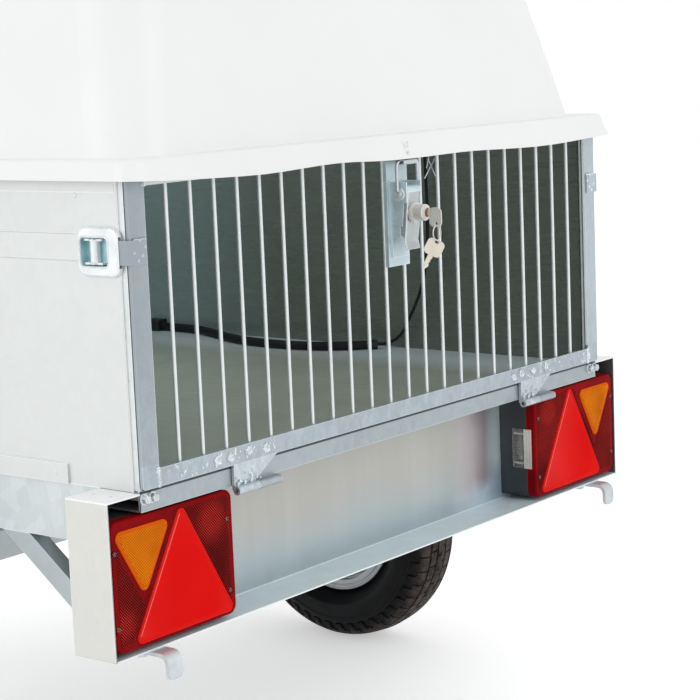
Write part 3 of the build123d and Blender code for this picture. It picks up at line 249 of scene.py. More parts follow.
def stile_tones(f, shade, code, metal):
    """The tailgate's sides above its bottom rail: left darker, right lighter, more so higher up, and inner faces
    painted pale as painted light.
    """
    x, _, z = f.axes()
    above = f.calc("GREATER_THAN", z, RAIL_TOP * MM)
    height = f.spread(z, 0.5, 1, RAIL_TOP * MM, 0.72)
    darker_tone, bright = shades(code, 0.7, 1.35)
    shade = f.mix(f.times(height, f.spread(x, 0.7, 0, -0.5, -0.4), above), shade, darker_tone)
    shade = f.mix(f.times(height, f.spread(x, 0, 0.5, 0.4, 0.5), above), shade, bright)
    # painted light: the stiles' inner faces are painted pale and made less metallic, as if lit
    painted_lit_inner = f.times(f.calc("LESS_THAN", f.away(x), STILE_INNER * MM + 0.0003), above)
    f.drive("Metallic", f.spread(painted_lit_inner, metal, 0.1))
    return f.mix(painted_lit_inner, shade, "#f2f8f9")


def zinc_tone(f, grain):
    """Crystals and clouds together, and the fine rolling lines."""
    fine = f.noise(420, 2, 0.6, (1, 1, 0.08))
    tone = f.calc("ADD", f.times(f.cells(grain), 0.35), f.times(f.noise(5, 4, 0.6), 0.65))
    return f.calc("ADD", tone, f.spread(fine, -0.12, 0.12)), fine


def board_zinc(name):
    """The light board: a warm grey back with painted light, shade and reflection: bluish low down, paler with a
    darker band towards the right lamp, pale ends, top and foot, dark inner end faces and pale edges.
    """
    f = Finish(name, 0.5)
    x, _, z = f.axes()
    tone, fine = zinc_tone(f, 60)
    clouds = f.noise(7, 4, 0.6)
    height = f.calc("ADD", z, f.spread(clouds, -0.03, 0.03))
    # painted reflection: the back is bluish low down, warm grey above
    back = f.tones(height, 0.385, 0.455, "#a9b6bb", "#b3b2ac")
    # painted light and shade towards the right lamp: paler, then a darker band, then pale and bluish low down and
    # beside the lamp
    back = f.tones(x, 0.2, 0.26, back, "#c2b9bc")
    back = f.tones(x, 0.262, 0.29, back, "#aaa2aa")
    low = f.times(f.spread(height, 1, 0, 0.385, 0.405), f.spread(x, 0, 0.9, 0.2, 0.27))
    back = f.mix(low, back, "#c6d8e6")
    back = f.tones(x, 0.294, 0.322, back, f.tones(height, 0.4, 0.43, "#b8cede", "#e2f3f6"))
    streak = f.noise(16, 3, 0.6, (1, 1, 0.06))
    back = f.mix(f.spread(streak, 0, 0.16, 0.5, 0.75), back, "#d3d8d8")
    # painted light and reflection: the foot's top face is painted pale bluish and made less metallic
    foot = f.spread(z, 1, 0, 0.3622, 0.3626)
    top = f.calc("GREATER_THAN", z, 0.5464)
    shade = f.mix(foot, back, "#e9f7fb")
    shade = f.mix(f.calc("GREATER_THAN", f.away(x), 0.5638), shade, "#6a6065")  # the ends' inner faces, painted dark as painted shade
    shade = f.mix(f.calc("GREATER_THAN", f.away(x), 0.5656), shade, "#d9d9d4")  # and their outer ones, painted pale as painted light
    # painted light: the board's top face is painted near white and made less metallic
    shade = f.mix(top, shade, "#fafafb")
    f.drive("Metallic", f.spread(f.calc("MAXIMUM", foot, top), 0.5, 0.2))
    shade = f.mix(f.spread(tone, 0.14, 0, 0.25, 0.75), shade, "#7f888c")
    # painted highlight: the board's edges are painted paler
    f.colour(f.mix(f.edge(0.8), shade, "#eef2f3"))
    f.rough(tone, 0.3, 0.46)
    return f.bump(fine, 0.15, 0.03).bump(clouds, 0.15, 0.3).material


def pan_zinc(name, reach=0.5155):
    """The side latches: near-white plate, and blue-green passivated zinc further in than the reach."""
    f = Finish(name, 0.3)
    x, y, z = f.axes()
    patches = f.noise(35)
    window = f.times(
        f.calc("LESS_THAN", f.away(y, 0.051 - MIDDLE), 0.0256), f.calc("LESS_THAN", f.away(z, 0.828), 0.0186),
    )
    deep = f.times(window, f.spread(f.away(x), 1, 0, reach, reach + 0.0015))
    rim = f.tones(patches, 0.3, 0.7, "#dfe5e8", "#f4f7f8")
    cup = f.tones(patches, 0.3, 0.7, "#87b5ba", "#c2e4ea")
    # painted highlight: the latch's edges are painted white
    f.colour(f.mix(f.edge(0.7), f.mix(deep, rim, cup), "#ffffff"))
    f.rough(patches, 0.22, 0.4)
    return f.bump(patches, 0.2, 0.08).material


def zinc_plate(name, code, metal=0.85, rough=(0.2, 0.38)):
    """Bright zinc or nickel plate with a fine drawn grain and a few dull spots."""
    f = Finish(name, metal)
    grain = f.noise(900, 2, 0.6)
    patches = f.noise(45, 4, 0.6)
    f.colour(f.tones(patches, 0.3, 0.7, *shades(code, 0.82, 1.06)))
    f.rough(f.calc("ADD", f.spread(patches, rough[1], rough[0]), f.spread(grain, -0.05, 0.05)))
    return f.bump(grain, 0.2, 0.02).bump((120, 2), 0.25, 0.08).material


def film_board(name, code, rough=(0.2, 0.34), contrast=0.1, far=None):
    """Film-faced plywood: a mottled film with the faint net of its pressing sheet."""
    f = Finish(name, Coat_Weight=0.35, Coat_Roughness=0.18)
    x, y, z = f.axes()
    pitch = 0.0022
    net = f.times(f.calc("PINGPONG", f.calc("ADD", x, y), pitch), f.calc("PINGPONG", z, pitch))
    net = f.spread(net, 0, 1, 0, pitch * pitch)
    mottle = f.noise(9, 5, 0.65)
    scuff = f.noise(60, 4, 0.7, (1, 0.12, 1))
    tone = f.calc("ADD", f.times(mottle, 0.7), f.times(scuff, 0.3))
    shade = f.tones(tone, 0.3, 0.7, *shades(code, 1 - contrast, 1 + contrast))
    if far:  # painted paler towards one end as painted light in the cabin
        axis, start, end, pale = far
        shade = f.mix(f.spread((x, y, z)[axis], 0, 0.85, start, end), shade, pale)
    f.colour(shade)
    f.rough(scuff, *rough)
    return f.bump(net, 0.15, 0.08).bump(mottle, 0.2, 0.5).material


def moulded(name, code, rough=(0.38, 0.55), relief=0.3):
    """Moulded plastic with a fine textured skin and rubbed places."""
    f = Finish(name)
    skin = f.noise(700, 3, 0.7)
    rubbed_and_highlight = f.noise(18, 4, 0.6)
    f.colour(f.tones(rubbed_and_highlight, 0.35, 0.75, *shades(code, 0.85, 1.35)))
    f.rough(rubbed_and_highlight, rough[1], rough[0])
    return f.bump(skin, relief, 0.08).material


def gelcoat(name, code):
    """White gelcoat with orange peel and a little road film in patches."""
    f = Finish(name, Coat_Weight=0.15, Coat_Roughness=0.3)
    film = f.noise(4, 5, 0.6)
    f.colour(f.tones(film, 0.35, 0.8, *shades(code, 1, 0.965)))
    f.rough(film, 0.4, 0.52)
    return f.bump((140, 2), 0.12, 0.15).bump((7, 2, 0.4), 0.1, 1.2).material


def lens(name, deep, bright, rubbed_and_highlight, pitch, relief):
    """Coloured lens plastic over a moulded net of small prisms."""
    f = Finish(name, IOR=1.06)
    x, _, z = f.axes()
    rise, fall = (f.calc("PINGPONG", f.calc(kind, x, z), pitch) for kind in ("ADD", "SUBTRACT"))
    net = f.spread(f.calc("ADD", rise, fall), 0, 1, 0, 2 * pitch)
    tone = f.calc("ADD", f.times(net, 0.45), f.times(f.noise(14, 2, 0.4), 0.6))
    # painted highlight: the lens's edges are painted in its paler third colour
    f.colour(f.mix(f.edge(0.6, 1.6), f.tones(tone, 0.3, 0.75, deep, bright), rubbed_and_highlight))
    f.rough(net, 0.12, 0.3, 0, 1)
    return f.bump(net, relief, 0.35).material


def prism(name, deep, bright, half, spots, base, sharp):
    """Lens plastic on its modelled prisms, painted lighter at their tips as painted highlights and before the
    lamp's mirror as its painted reflection.
    """
    f = Finish(name, IOR=1.08)
    x, _, z = f.axes()
    cell = 2 * half * MM
    rise, fall = (
        f.calc("PINGPONG", f.calc("DIVIDE", f.calc(kind, x, z), cell), 0.5) for kind in ("ADD", "SUBTRACT")
    )
    # painted highlight: the prisms are lighter towards their tips
    tip = f.spread(f.calc("MAXIMUM", rise, fall), 1, 0, 0.15, sharp)
    # painted light: a random base brightness, raised to full at the bright places before the lamp's mirror as its
    # painted reflection
    lit = f.spread(f.noise(14, 2), base * 0.6, base * 1.5, 0.35, 0.65)
    for spot_x, spot_z, radius in spots:
        far = f.distance(x, spot_x * MM, z, spot_z * MM)
        lit = f.calc("MAXIMUM", lit, f.spread(far, 1, 0, radius * MM * 0.3, radius * MM))
    f.colour(f.mix(f.calc("MULTIPLY", tip, lit, True), deep, bright))
    f.rough(f.noise(230, 2, 0.6), 0.12, 0.24, 0, 1)
    return f.bump((400, 2), 0.1, 0.03).material


def rubber(name, code):
    """Black rubber with a dull bloom."""
    f = Finish(name, Specular_IOR_Level=0.3)
    bloom = f.noise(22, 5, 0.65)
    f.colour(f.tones(bloom, 0.35, 0.7, *shades(code, 0.8, 1.5)))
    f.rough(bloom, 0.55, 0.8)
    return f.bump((500, 3, 0.6), 0.3, 0.1).material


def tyre_rubber(name):
    """Tyre rubber: a dark sheen on the sides, and brown dust on the tread of both wheels."""
    f = Finish(name, Specular_IOR_Level=0.15)
    _, y, z = f.axes()
    radius = f.distance(y, WHEEL_STATION * MM - MIDDLE, z, WHEEL_HEIGHT * MM)
    bloom = f.noise(22, 5, 0.65)
    base = f.tones(bloom, 0.35, 0.7, "#08080a", "#131417")
    wear_and_highlight = f.tones(f.noise(60, 5, 0.7), 0.4, 0.7, "#2c2725", "#6a5f59")
    tread = f.times(f.spread(radius, 0, 1, 0.188, 0.204), f.spread(bloom, 0.6, 1))
    f.colour(f.mix(tread, base, wear_and_highlight))
    f.rough(f.calc("ADD", f.spread(radius, 0.36, 0.62, 0.14, 0.2), f.spread(bloom, -0.06, 0.08)))
    return f.bump((500, 3, 0.6), 0.3, 0.1).material


def painted(name, code):
    """Silver wheel paint: fine flake, slight orange peel, brake and road dust in patches."""
    f = Finish(name, 0.5, Coat_Weight=0.3, Coat_Roughness=0.15)
    flake = f.cells(1500)
    dust = f.noise(26, 5, 0.65)
    tone = f.calc("ADD", f.times(flake, 0.3), f.times(dust, 0.7))
    f.colour(f.tones(tone, 0.35, 0.65, *shades(code, 0.8, 1.05)))
    f.rough(dust, 0.3, 0.5)
    return f.bump((200, 2), 0.15, 0.08).material


def clear_plastic(name):
    """Clear window with fine upright ribs inside."""
    f = Finish(name, Transmission_Weight=0.92, IOR=1.49)
    _, y, _ = f.axes()
    ribs = f.calc("PINGPONG", y, 0.0012)
    f.colour(f.mix(f.noise(40), "#f2f3ee", "#e2e4de"))
    f.rough(f.noise(90, 2), 0.02, 0.09)
    return f.bump(f.spread(ribs, 0, 1, 0, 0.0012), 0.35, 0.2).material


RED_CELL, AMBER_CELL = 1.9, 1.7  # half a diamond prism on the red and the amber lens, millimetres
RED_GLOW = ((-391, 492, 44), (-548, 400, 34), (372, 492, 44), (552, 510, 30))  # x, z and reach of places painted bright as the lamp mirror's painted reflection
AMBER_GLOW = ((-532, 482, 62), (500, 484, 34))
FINISHES = {}


def looks(make, **table):
    """Finishes from one maker, by name."""
    for name, facts in table.items():
        FINISHES[name] = make(name, **facts)


looks(
    galvanised,
    # the galvanised finishes paint their edges bright as painted highlights, the hinges only faintly
    gate_steel=dict(
        code="#a7b1b8", rough=(0.34, 0.52), grain=110, contrast=0.08, relief=0.5, blotch=0.5, stiles=True,
    ),
    bar_steel=dict(code="#dde3e4", metal=0.55, rough=(0.3, 0.45), contrast=0.03),
    wall_sheet=dict(code="#dadddc", metal=0.45, rough=(0.36, 0.5), contrast=0.02, relief=0.15),
    post_steel=dict(code="#dce1e2", metal=0.45, rough=(0.36, 0.5)),
    # the sill's top gets a painted shadow of the gap under the tailgate's bottom rail
    sill_steel=dict(code="#a3acb1", contrast=0.07, blotch=0.25, gap_shadow_level=0.5478),
    board_steel=dict(code="#b6bfc2", rough=(0.3, 0.46), contrast=0.04, relief=0.15),
    frame_steel=dict(code="#d3dadc", metal=0.5, rough=(0.42, 0.62), grain=50, contrast=0.08, relief=0.5),
    guard_steel=dict(code="#b0b6b9"),
    latch_zinc=dict(code="#c6d9df", metal=0.3, rough=(0.3, 0.45), contrast=0.06, relief=0.3),
    lever_zinc=dict(code="#b6bdbf", metal=0.45, rough=(0.26, 0.42), contrast=0.08, relief=0.3),
    hinge_zinc=dict(
        code="#b9c3c9", metal=0.6, rough=(0.24, 0.42), grain=200, contrast=0.1, relief=0.4, blotch=0.6, wear_and_highlight=0.12,
    ),
    weld_zinc=dict(
        code="#c3cbcf", metal=0.55, rough=(0.18, 0.5), grain=450, contrast=0.22, relief=0.9, blotch=0.9,
        stiles=True,
    ),
)
looks(
    zinc_plate,
    zinc_bright=dict(code="#c6cdd1"),
    nickel=dict(code="#e2dfda", metal=0.3, rough=(0.16, 0.3)),
    key_brass=dict(code="#e6dfcf", metal=0.6, rough=(0.2, 0.36)),
    dull_screw=dict(code="#6d6763", metal=0.7, rough=(0.3, 0.5)),
    hook_zinc=dict(code="#cdd3d6", metal=0.5, rough=(0.4, 0.58)),
    mirror=dict(code="#6f6b62", metal=0.9, rough=(0.08, 0.2)),
    plug_brass=dict(code="#8d7358", metal=0.8, rough=(0.2, 0.4)),
    white_zinc=dict(code="#e4e9eb", metal=0.45, rough=(0.22, 0.36)),
)
looks(
    film_board,
    # far: axis, start, end and the pale colour painted there as painted light in the cabin
    lining_film=dict(code="#626962", far=(1, -0.36, -0.07, "#8b9fa2")),
    floor_film=dict(code="#999f96", rough=(0.3, 0.48), contrast=0.14, far=(0, 0.33, 0.42, "#c9d3db")),
    front_film=dict(code="#7c8784", far=(0, 0, -0.42, "#b0c6cc")),
)
looks(
    moulded,
    lamp_black=dict(code="#2b2f33"),
    clip_black=dict(code="#1e2022"),
    milky=dict(code="#d2cfc9", rough=(0.25, 0.4), relief=0.1),
)
looks(
    lens,
    # the third colour of each lens is painted onto its edges as a painted highlight
    lens_red=dict(deep="#5c0a10", bright="#a01418", rubbed_and_highlight="#d8302c", pitch=0.0016, relief=0.2),
    reflector_red=dict(deep="#d9100f", bright="#e61a16", rubbed_and_highlight="#ff6e60", pitch=0.0008, relief=0.15),
    # painted highlight: the reflectors' edge lines are a paler red
    line_red=dict(deep="#f2524a", bright="#ff7066", rubbed_and_highlight="#ff9088", pitch=0.0008, relief=0.1),
    lens_amber=dict(deep="#c94a05", bright="#e8860f", rubbed_and_highlight="#ffb040", pitch=0.0022, relief=0.6),
    amber_border=dict(deep="#cf4c06", bright="#e0620a", rubbed_and_highlight="#ff8a2c", pitch=0.0012, relief=0.1),
)
looks(
    prism,
    prism_red=dict(deep="#32040a", bright="#ff4438", half=RED_CELL, spots=RED_GLOW, base=0.46, sharp=0.36),
    prism_amber=dict(deep="#a63003", bright="#ffa01c", half=AMBER_CELL, spots=AMBER_GLOW, base=0.9, sharp=0.5),
)
looks(rubber, hose_black=dict(code="#1b1d1f"), wheel_rubber=dict(code="#232426"))
looks(clear_plastic, lens_clear={}, bulb_glass={})
looks(pan_zinc, pan_zinc={}, lever_pan_zinc=dict(reach=0.5056))
looks(gelcoat, lid_gloss=dict(code="#eeefef"))
looks(painted, rim_silver=dict(code="#b4b8bb"))
looks(tyre_rubber, tyre_rubber={})
looks(board_zinc, board_zinc={})
SPECIAL = {
    "tailgate_hinges": "hinge_zinc", "side_latch_pans": "pan_zinc",
    "light_board": "board_zinc", "lock_plate": "latch_zinc", "latch_lever": "lever_zinc",
    "side_latch_levers": "lever_pan_zinc", "rear_hooks": "hook_zinc", "lining_front": "front_film",
}
for entry in frame["record"]["subparts"]:
    slots = nodes[entry["node"]].data.materials
    slots.clear()
    slots.append(FINISHES[SPECIAL.get(entry["node"], entry["material_slot"])])

# ---- hose and cable in the cabin
HOSE = [(x, station, FLOOR_LEVEL) for x, station in (
    (486, 900), (486, 820), (455, 745), (418, 670), (402, 590), (402, 510), (425, 440), (456, 408),
)]
CABLE = [
    (467.13, 396.51, FLOOR_LEVEL), (490.79, 372.09, FLOOR_LEVEL), (480, 336, 606), (476, 305, 660),
    (475, 293, 722), (477, 292, 786), (483, 298, 850), (483, 298, 905),
]


def soft_line(name, node, points, radius):
    """A round cord along one smooth curve through the cabin."""
    curve = bpy.data.curves.new(name, "CURVE")
    curve.dimensions = "3D"
    curve.bevel_depth = radius * MM
    curve.bevel_resolution = 6
    curve.resolution_u = 12
    curve.use_fill_caps = True
    spline = curve.splines.new("NURBS")
    spline.points.add(len(points) - 1)
    for spot, point in zip(spline.points, points):
        spot.co = (*at(*point), 1)
    spline.order_u = 3
    spline.use_endpoint_u = True
    curve.materials.append(FINISHES["hose_black"])
    made = placed(name, curve)
    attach(made, "trailer")
    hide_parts(node)
    return made


hose = soft_line("hose", "floor_hose", HOSE, 7.2)
cable = soft_line("cable", "wall_cable", CABLE, 2.5)

# ---- mesh helpers
def rounded(corners, radius, inset=0, steps=6):
    """Outline of a convex polygon with rounded corners, drawn in by inset."""
    outline = []
    for i in range(len(corners)):
        before, here, after = (Vector(corners[(i + k) % len(corners) - 1]) for k in range(3))
        a, b = (before - here).normalized(), (after - here).normalized()
        half = a.angle(b) / 2
        middle = here + (a + b).normalized() * (radius / sin(half))
        first, last = (here + arm * (radius / tan(half)) - middle for arm in (a, b))
        for k in range(steps + 1):
            outline.append(tuple(middle + first.slerp(last, k / steps).normalized() * (radius - inset)))
    return outline


def inside(point, corners, margin):
    """True for a point at least margin inside a convex polygon."""
    middle = sum((Vector(c) for c in corners), Vector((0, 0))) / len(corners)
    for start, end in zip(corners, corners[1:] + corners[:1]):
        start = Vector(start)
        edge = Vector(end) - start
        normal = Vector((-edge.y, edge.x)).normalized()
        if normal.dot(middle - start) < 0:
            normal = -normal
        if normal.dot(Vector(point) - start) < margin:
            return False
    return True


def lattice(half, corners):
    """Middles of diamond cells, half from middle to corner, in the box round some corners."""
    xs, zs = zip(*corners)
    return [
        (half * (2 * column + row % 2), half * row)
        for row in range(floor(min(zs) / half), ceil(max(zs) / half) + 1)
        for column in range(floor(min(xs) / half / 2) - 1, ceil(max(xs) / half / 2) + 1)
    ]


def circle(middle, u, v, radius, sides):
    """Points round a middle in the plane of u and v."""
    angles = (2 * pi * k / sides for k in range(sides))
    return [middle + (u * cos(a) + v * sin(a)) * radius for a in angles]


class Shape:
    """Closed shapes under construction, in millimetres from the tailgate's rear face."""

    def __init__(self):
        self.points = []
        self.faces = []

    def add(self, points, faces):
        start = len(self.points)
        self.points += [tuple(point) for point in points]
        self.faces += [tuple(start + i for i in face) for face in faces]
        return self

    def skin(self, rings, ring=False):
        """Skin over outlines of equal length: capped at both ends, or joined into a ring."""
        count, rows = len(rings[0]), len(rings)
        faces = []
        for r in range(rows if ring else rows - 1):
            for i in range(count):
                j, s = (i + 1) % count, (r + 1) % rows
                faces.append((r * count + i, r * count + j, s * count + j, s * count + i))
        if not ring:
            faces.append(tuple(range(count))[::-1])
            faces.append(tuple((rows - 1) * count + i for i in range(count)))
        return self.add([point for outline in rings for point in outline], faces)

    def turned(self, origin, axis, profile, sides=24, ring=False):
        """Turned part: profile is (along, radius) pairs."""
        axis = Vector(axis).normalized()
        u = axis.orthogonal().normalized()
        v = axis.cross(u)
        return self.skin([
            circle(Vector(origin) + axis * along, u, v, radius, sides) for along, radius in profile
        ], ring)

    def plate(self, corners, radius, layers):
        """Round-cornered plate in front of a lamp's face, from (height, inset) layers."""
        return self.skin([
            [(x, LENS_FACE - height, z) for x, z in rounded(corners, radius, inset)] for height, inset in layers
        ])

    def rivet(self, origin, axis, radius=3.2):
        dome = [(-1, radius), (0.2, radius), (0.9, radius * 0.82), (1.3, radius * 0.4), (1.35, 0.3)]
        self.turned(origin, axis, dome, 14)

    def bolt(self, origin, axis, flats, washer=True, stud=0):
        """Hexagon head or nut with its washer and the end of its thread."""
        radius = flats * 0.577
        base = 0
        if washer:
            disc = [(-0.5, radius * 1.25), (1.1, radius * 1.25), (1.5, radius * 1.18), (1.55, 1)]
            self.turned(origin, axis, disc, 20)
            base = 1.5
        height = flats * 0.62
        self.turned(origin, axis, [
            (base - 0.3, radius), (base + height * 0.8, radius), (base + height, radius * 0.84), (base + height, 1),
        ], 6)
        if stud:
            top = base + height
            thread = [(base, flats * 0.3)]
            for k in range(int(stud / 1.2)):
                thread += [(top + k * 1.2, flats * 0.31), (top + k * 1.2 + 0.6, flats * 0.27)]
            self.turned(origin, axis, thread + [(top + stud, flats * 0.2)], 14)

    def blob(self, origin, axis, long, wide, high, along):
        """Weld blob: a low dome, long in one direction of its surface."""
        axis = Vector(axis).normalized()
        along = Vector(along).normalized()
        across = axis.cross(along)
        around = [
            ((along * (long * cos(a)) + across * (wide * sin(a))), 1 + 0.12 * sin(3 * a + origin[0]))
            for a in (pi * k / 6 for k in range(12))
        ]
        self.skin([
            [Vector(origin) + axis * (high * level) + arm * (share * uneven) for arm, uneven in around]
            for level, share in ((-0.4, 1), (0.1, 1), (0.45, 0.86), (0.8, 0.55), (0.95, 0.2))
        ])

    def seam(self, start, end, axis, wide, high, step=2.6):
        """Weld seam: a row of overlapping ripples."""
        start, end = Vector(start), Vector(end)
        run = end - start
        count = max(2, int(run.length / step))
        for k in range(count + 1):
            self.blob(start + run * (k / count), axis, step * 0.9, wide * vary(0.85, 1.15), high, run)

    def tube(self, points, radius, sides):
        """Round wire through points."""
        points = [Vector(point) for point in points]
        rings = []
        up = None
        for i, point in enumerate(points):
            heading = (points[min(i + 1, len(points) - 1)] - points[max(i - 1, 0)]).normalized()
            up = heading.orthogonal() if up is None else up - heading * up.dot(heading)
            up.normalize()
            rings.append(circle(point, up, heading.cross(up), radius, sides))
        self.skin(rings)

    def prisms(self, cells, half, front, back, rise):
        """Sheet of low pyramids on diamond cells, closed at its back and round its edge."""
        index = {}
        points, faces, sides = [], [], {}

        def vertex(x, z, depth):
            key = (round(x, 3), round(z, 3), depth)
            if key not in index:
                index[key] = len(points)
                points.append((x, depth, z))
            return index[key]

        for x, z in cells:
            corners = [(x + half, z), (x, z + half), (x - half, z), (x, z - half)]
            top = [vertex(*corner, front) for corner in corners]
            low = [vertex(*corner, back) for corner in corners]
            tip = vertex(x, z, front - rise)
            faces.append(tuple(reversed(low)))
            for k in range(4):
                n = (k + 1) % 4
                faces.append((top[k], top[n], tip))
                edge = frozenset((top[k], top[n]))
                sides[edge] = None if edge in sides else (top[k], low[k], low[n], top[n])
        faces += [side for side in sides.values() if side]
        return self.add(points, faces)

    def piece(self, name, slot, finish=None, replaced=(), smooth=34, body="trailer"):
        """Closes the shape: one mesh that rides on a body, with edges sharper than smooth left sharp."""
        mesh = bpy.data.meshes.new(name)
        mesh.from_pydata([at(*point) for point in self.points], [], self.faces)
        work = bmesh.new()
        work.from_mesh(mesh)
        bmesh.ops.recalc_face_normals(work, faces=work.faces)
        work.to_mesh(mesh)
        work.free()
        mesh.shade_smooth()
        mesh.set_sharp_from_angle(angle=radians(smooth))
        mesh.materials.append(FINISHES[finish or slot])
        made = placed(name, mesh)
        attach(made, body)
        if replaced:
            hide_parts(*replaced)


REAR, FRONT, UP, DOWN = (0, -1, 0), (0, 1, 0), (0, 0, 1), (0, 0, -1)
vary = random.Random(7).uniform

# ---- rear lamps
screws, screw_seats = Shape(), Shape()
lines = Shape()  # a thin raised line along each reflector's left edge, painted a paler red as a painted highlight
for side, name, lens_inner, reflector_x, indicator_x in (
    (-1, "left", 352, 445, 512), (1, "right", LENS_INNER, 432, 506),
):
    first = side < 0
    reflector = [(side * (reflector_x + dx), LENS_BOTTOM + 5.5 + dz) for dx, dz in ((-88, 0), (88, 0), (0, 152.4))]
    indicator = [(side * (indicator_x + dx), LENS_TOP - 11.5 + dz) for dx, dz in ((-49, 0), (49, 0), (0, -84.9))]
    shape = Shape().plate(reflector, 7, [(0.3, 0), (2.3, 0), (3.3, 1.4), (3.3, 4), (3, 4.6)])
    foot = reflector[1] if first else reflector[0]
    start = (foot[0] + 8.5, LENS_FACE - 3.2, foot[1] + 9.5)
    end = (reflector[2][0] - 4, LENS_FACE - 3.2, reflector[2][1] - 12.2)
    lines.tube([start, end], 0.7, 6)
    shape.piece(f"reflector_{name}", "reflector_red", replaced=["reflector_triangles"] if first else ())
    shape = Shape().plate(indicator, 8, [(0.3, 0), (1.4, 0), (2.3, 1.2), (2.3, 3.4), (2, 3.8)])
    shape.piece(f"indicator_{name}", "lens_amber", "amber_border", ["indicator_lenses"] if first else ())

    outline = [(side * x, z) for x, z in (
        (lens_inner, LENS_BOTTOM), (LENS_OUTER, LENS_BOTTOM), (LENS_OUTER, LENS_TOP), (lens_inner, LENS_TOP),
    )]
    shape = Shape().prisms([
        cell for cell in lattice(RED_CELL, outline)
        if inside(cell, outline, 7.5) and not inside(cell, reflector, -2.2) and not inside(cell, indicator, -4.5)
    ], RED_CELL, LENS_FACE - 0.05, LENS_FACE + 0.4, 0.9)
    shape.piece(f"lens_prisms_{name}", "lens_red", "prism_red", smooth=5)
    shape = Shape().prisms([
        cell for cell in lattice(AMBER_CELL, indicator) if inside(cell, indicator, 4.4)
    ], AMBER_CELL, LENS_FACE - 2.05, LENS_FACE - 1.6, 1)
    shape.piece(f"indicator_prisms_{name}", "lens_amber", "prism_amber", smooth=5)

    for x in (LENS_OUTER - 5.5, lens_inner + 10.5):
        for z in (487, 398):
            spot = (side * x, LENS_FACE, z)
            screw_seats.turned(spot, REAR, [
                (-1, 5.2), (0.6, 5.2), (1, 4.7), (1, 3.7), (-0.6, 3.5), (-0.7, 0.5),
            ], 20)
            screws.turned(spot, REAR, [(-0.8, 2.7), (0.2, 2.7), (0.8, 2.1), (0.9, 1.2), (0, 1), (0, 0.2)], 16)
lines.piece("reflector_highlight_lines", "reflector_red", "line_red")
screw_seats.piece("lamp_screw_seats", "lens_red", "prism_red")
screws.piece("lamp_screws", "zinc_bright", "dull_screw")

# Number-plate lamp in the right lamp's inner side: reflector, bulb and the ribbed strip beside it.
curve = [(LENS_INNER + 3 + 11 * sin(pi * k / 12), 28 + 17 * k / 12) for k in range(13)]
curve += [(x - 1, y) for x, y in reversed(curve)]
shape = Shape().skin([[(x, y, z) for x, y in curve] for z in (413, 470)])
shape.piece("plate_lamp_reflector", "zinc_bright", "mirror", smooth=25)
shape = Shape()
for z in (419, 464):
    shape.skin([
        [(LENS_INNER + x, y, z + dz) for x, y in ((1, 29), (1, 44), (13, 44), (13, 29))] for dz in (-1.5, 1.5)
    ])
shape.piece("plate_lamp_clips", "zinc_bright", "white_zinc", smooth=25)
Shape().turned((LENS_INNER + 7, 36.5, 424), UP, [
    (0, 1.2), (0.5, 3.2), (6, 3.2), (7, 4.4), (12, 5), (22, 5), (27, 4.4), (28, 3.2), (34, 3.2), (34.5, 1.2),
], 16).piece("plate_lamp_bulb", "lens_clear", "bulb_glass")
ribs = [(0.6, 12.5)]
for start in (12.5, 17.2, 21.9):
    ribs += [(-1.3, start + 0.5), (-1.7, start + 2.2), (-1.3, start + 4), (-0.4, start + 4.3)]
ribs += [(0.6, 26.6)]
shape = Shape().skin([[(LENS_INNER + x, y, z) for x, y in ribs] for z in (411.5, 471.5)])
shape.piece("plate_lamp_strip", "lens_clear", "milky", smooth=50)

# ---- bolts and welds
bolts = Shape()
for side in (-1, 1):
    for x in (491.5, 505):
        bolts.bolt((side * x, 5, 541), REAR, 10)
    bolts.bolt((side * 497, 30.5, 354.4), DOWN, 13, washer=False)
bolts.piece("sill_bolts", "zinc_bright", "weld_zinc")

welds = Shape()
for x in (272, 292, 325, 360, -380, -357, -322, -289):
    ring, height = vary(4.8, 6.2), 563.5 + vary(-2, 2)
    welds.turned((x, GATE_FACE, height), REAR, [
        (-0.6, ring), (0.8, ring - 0.4), (1.4, ring - 1.3), (0.9, ring - 2.4), (0.2, ring - 3.2), (0.5, 0.3),
    ], 18)
    for k in range(9):
        a = 0.7 * k + vary(-0.2, 0.2)
        out = ring * vary(0.65, 1.25)
        spot = (x + out * cos(a), GATE_FACE - 0.4, height + out * sin(a))
        welds.blob(spot, REAR, vary(1.2, 2.4), vary(0.9, 1.6), 1.2, (vary(-1, 1), 0, 1))
for start, end in ((-478, -270), (262, 480)):
    for _ in range(46):
        spot = (vary(start, end), GATE_FACE, 563 + vary(-9, 9))
        size = vary(0.5, 1.4)
        welds.blob(spot, REAR, size * vary(1, 2), size, 0.6, (vary(-1, 1), 0, 1))
for centre in (331, -311):
    for k in range(3):
        welds.blob((centre - 36 + 12 * k, -2, 527), (0, -1, 0.6), 4, 1.8, 1.6, (0.3, 0, 1))
    for _ in range(16):
        spot = (centre + vary(-38, 10), -2, 530 + vary(-3, 10))
        welds.blob(spot, REAR, vary(0.9, 2), vary(0.6, 1.2), 0.7, (vary(-1, 1), 0, 1))
for side in (-1, 1):
    x = side * STILE_INNER
    for low, high in ((553, 573), (903, 921)):
        welds.seam((x, GATE_FACE, low), (x, GATE_FACE, high), REAR, 3, 1.1)
    for z in (556, 560, 564, 569, 573, 905, 910, 916):
        spot = (side * (STILE_INNER + vary(0, 5)), GATE_FACE, z)
        welds.blob(spot, REAR, vary(2.4, 3.6), vary(1.4, 2.2), 1.3, (0.2, 0, 1))
    for x, z in ((495, 841), (505, 827), (492, 823), (487, 833), (499, 818)):
        welds.blob((side * x, -2.5, z), REAR, 2.6, 2.1, 1.1, (1, 0, 0.4))
    welds.seam((side * 486, -1.5, 842.3), (side * 503, -1.5, 842.3), REAR, 1.3, 1.3)
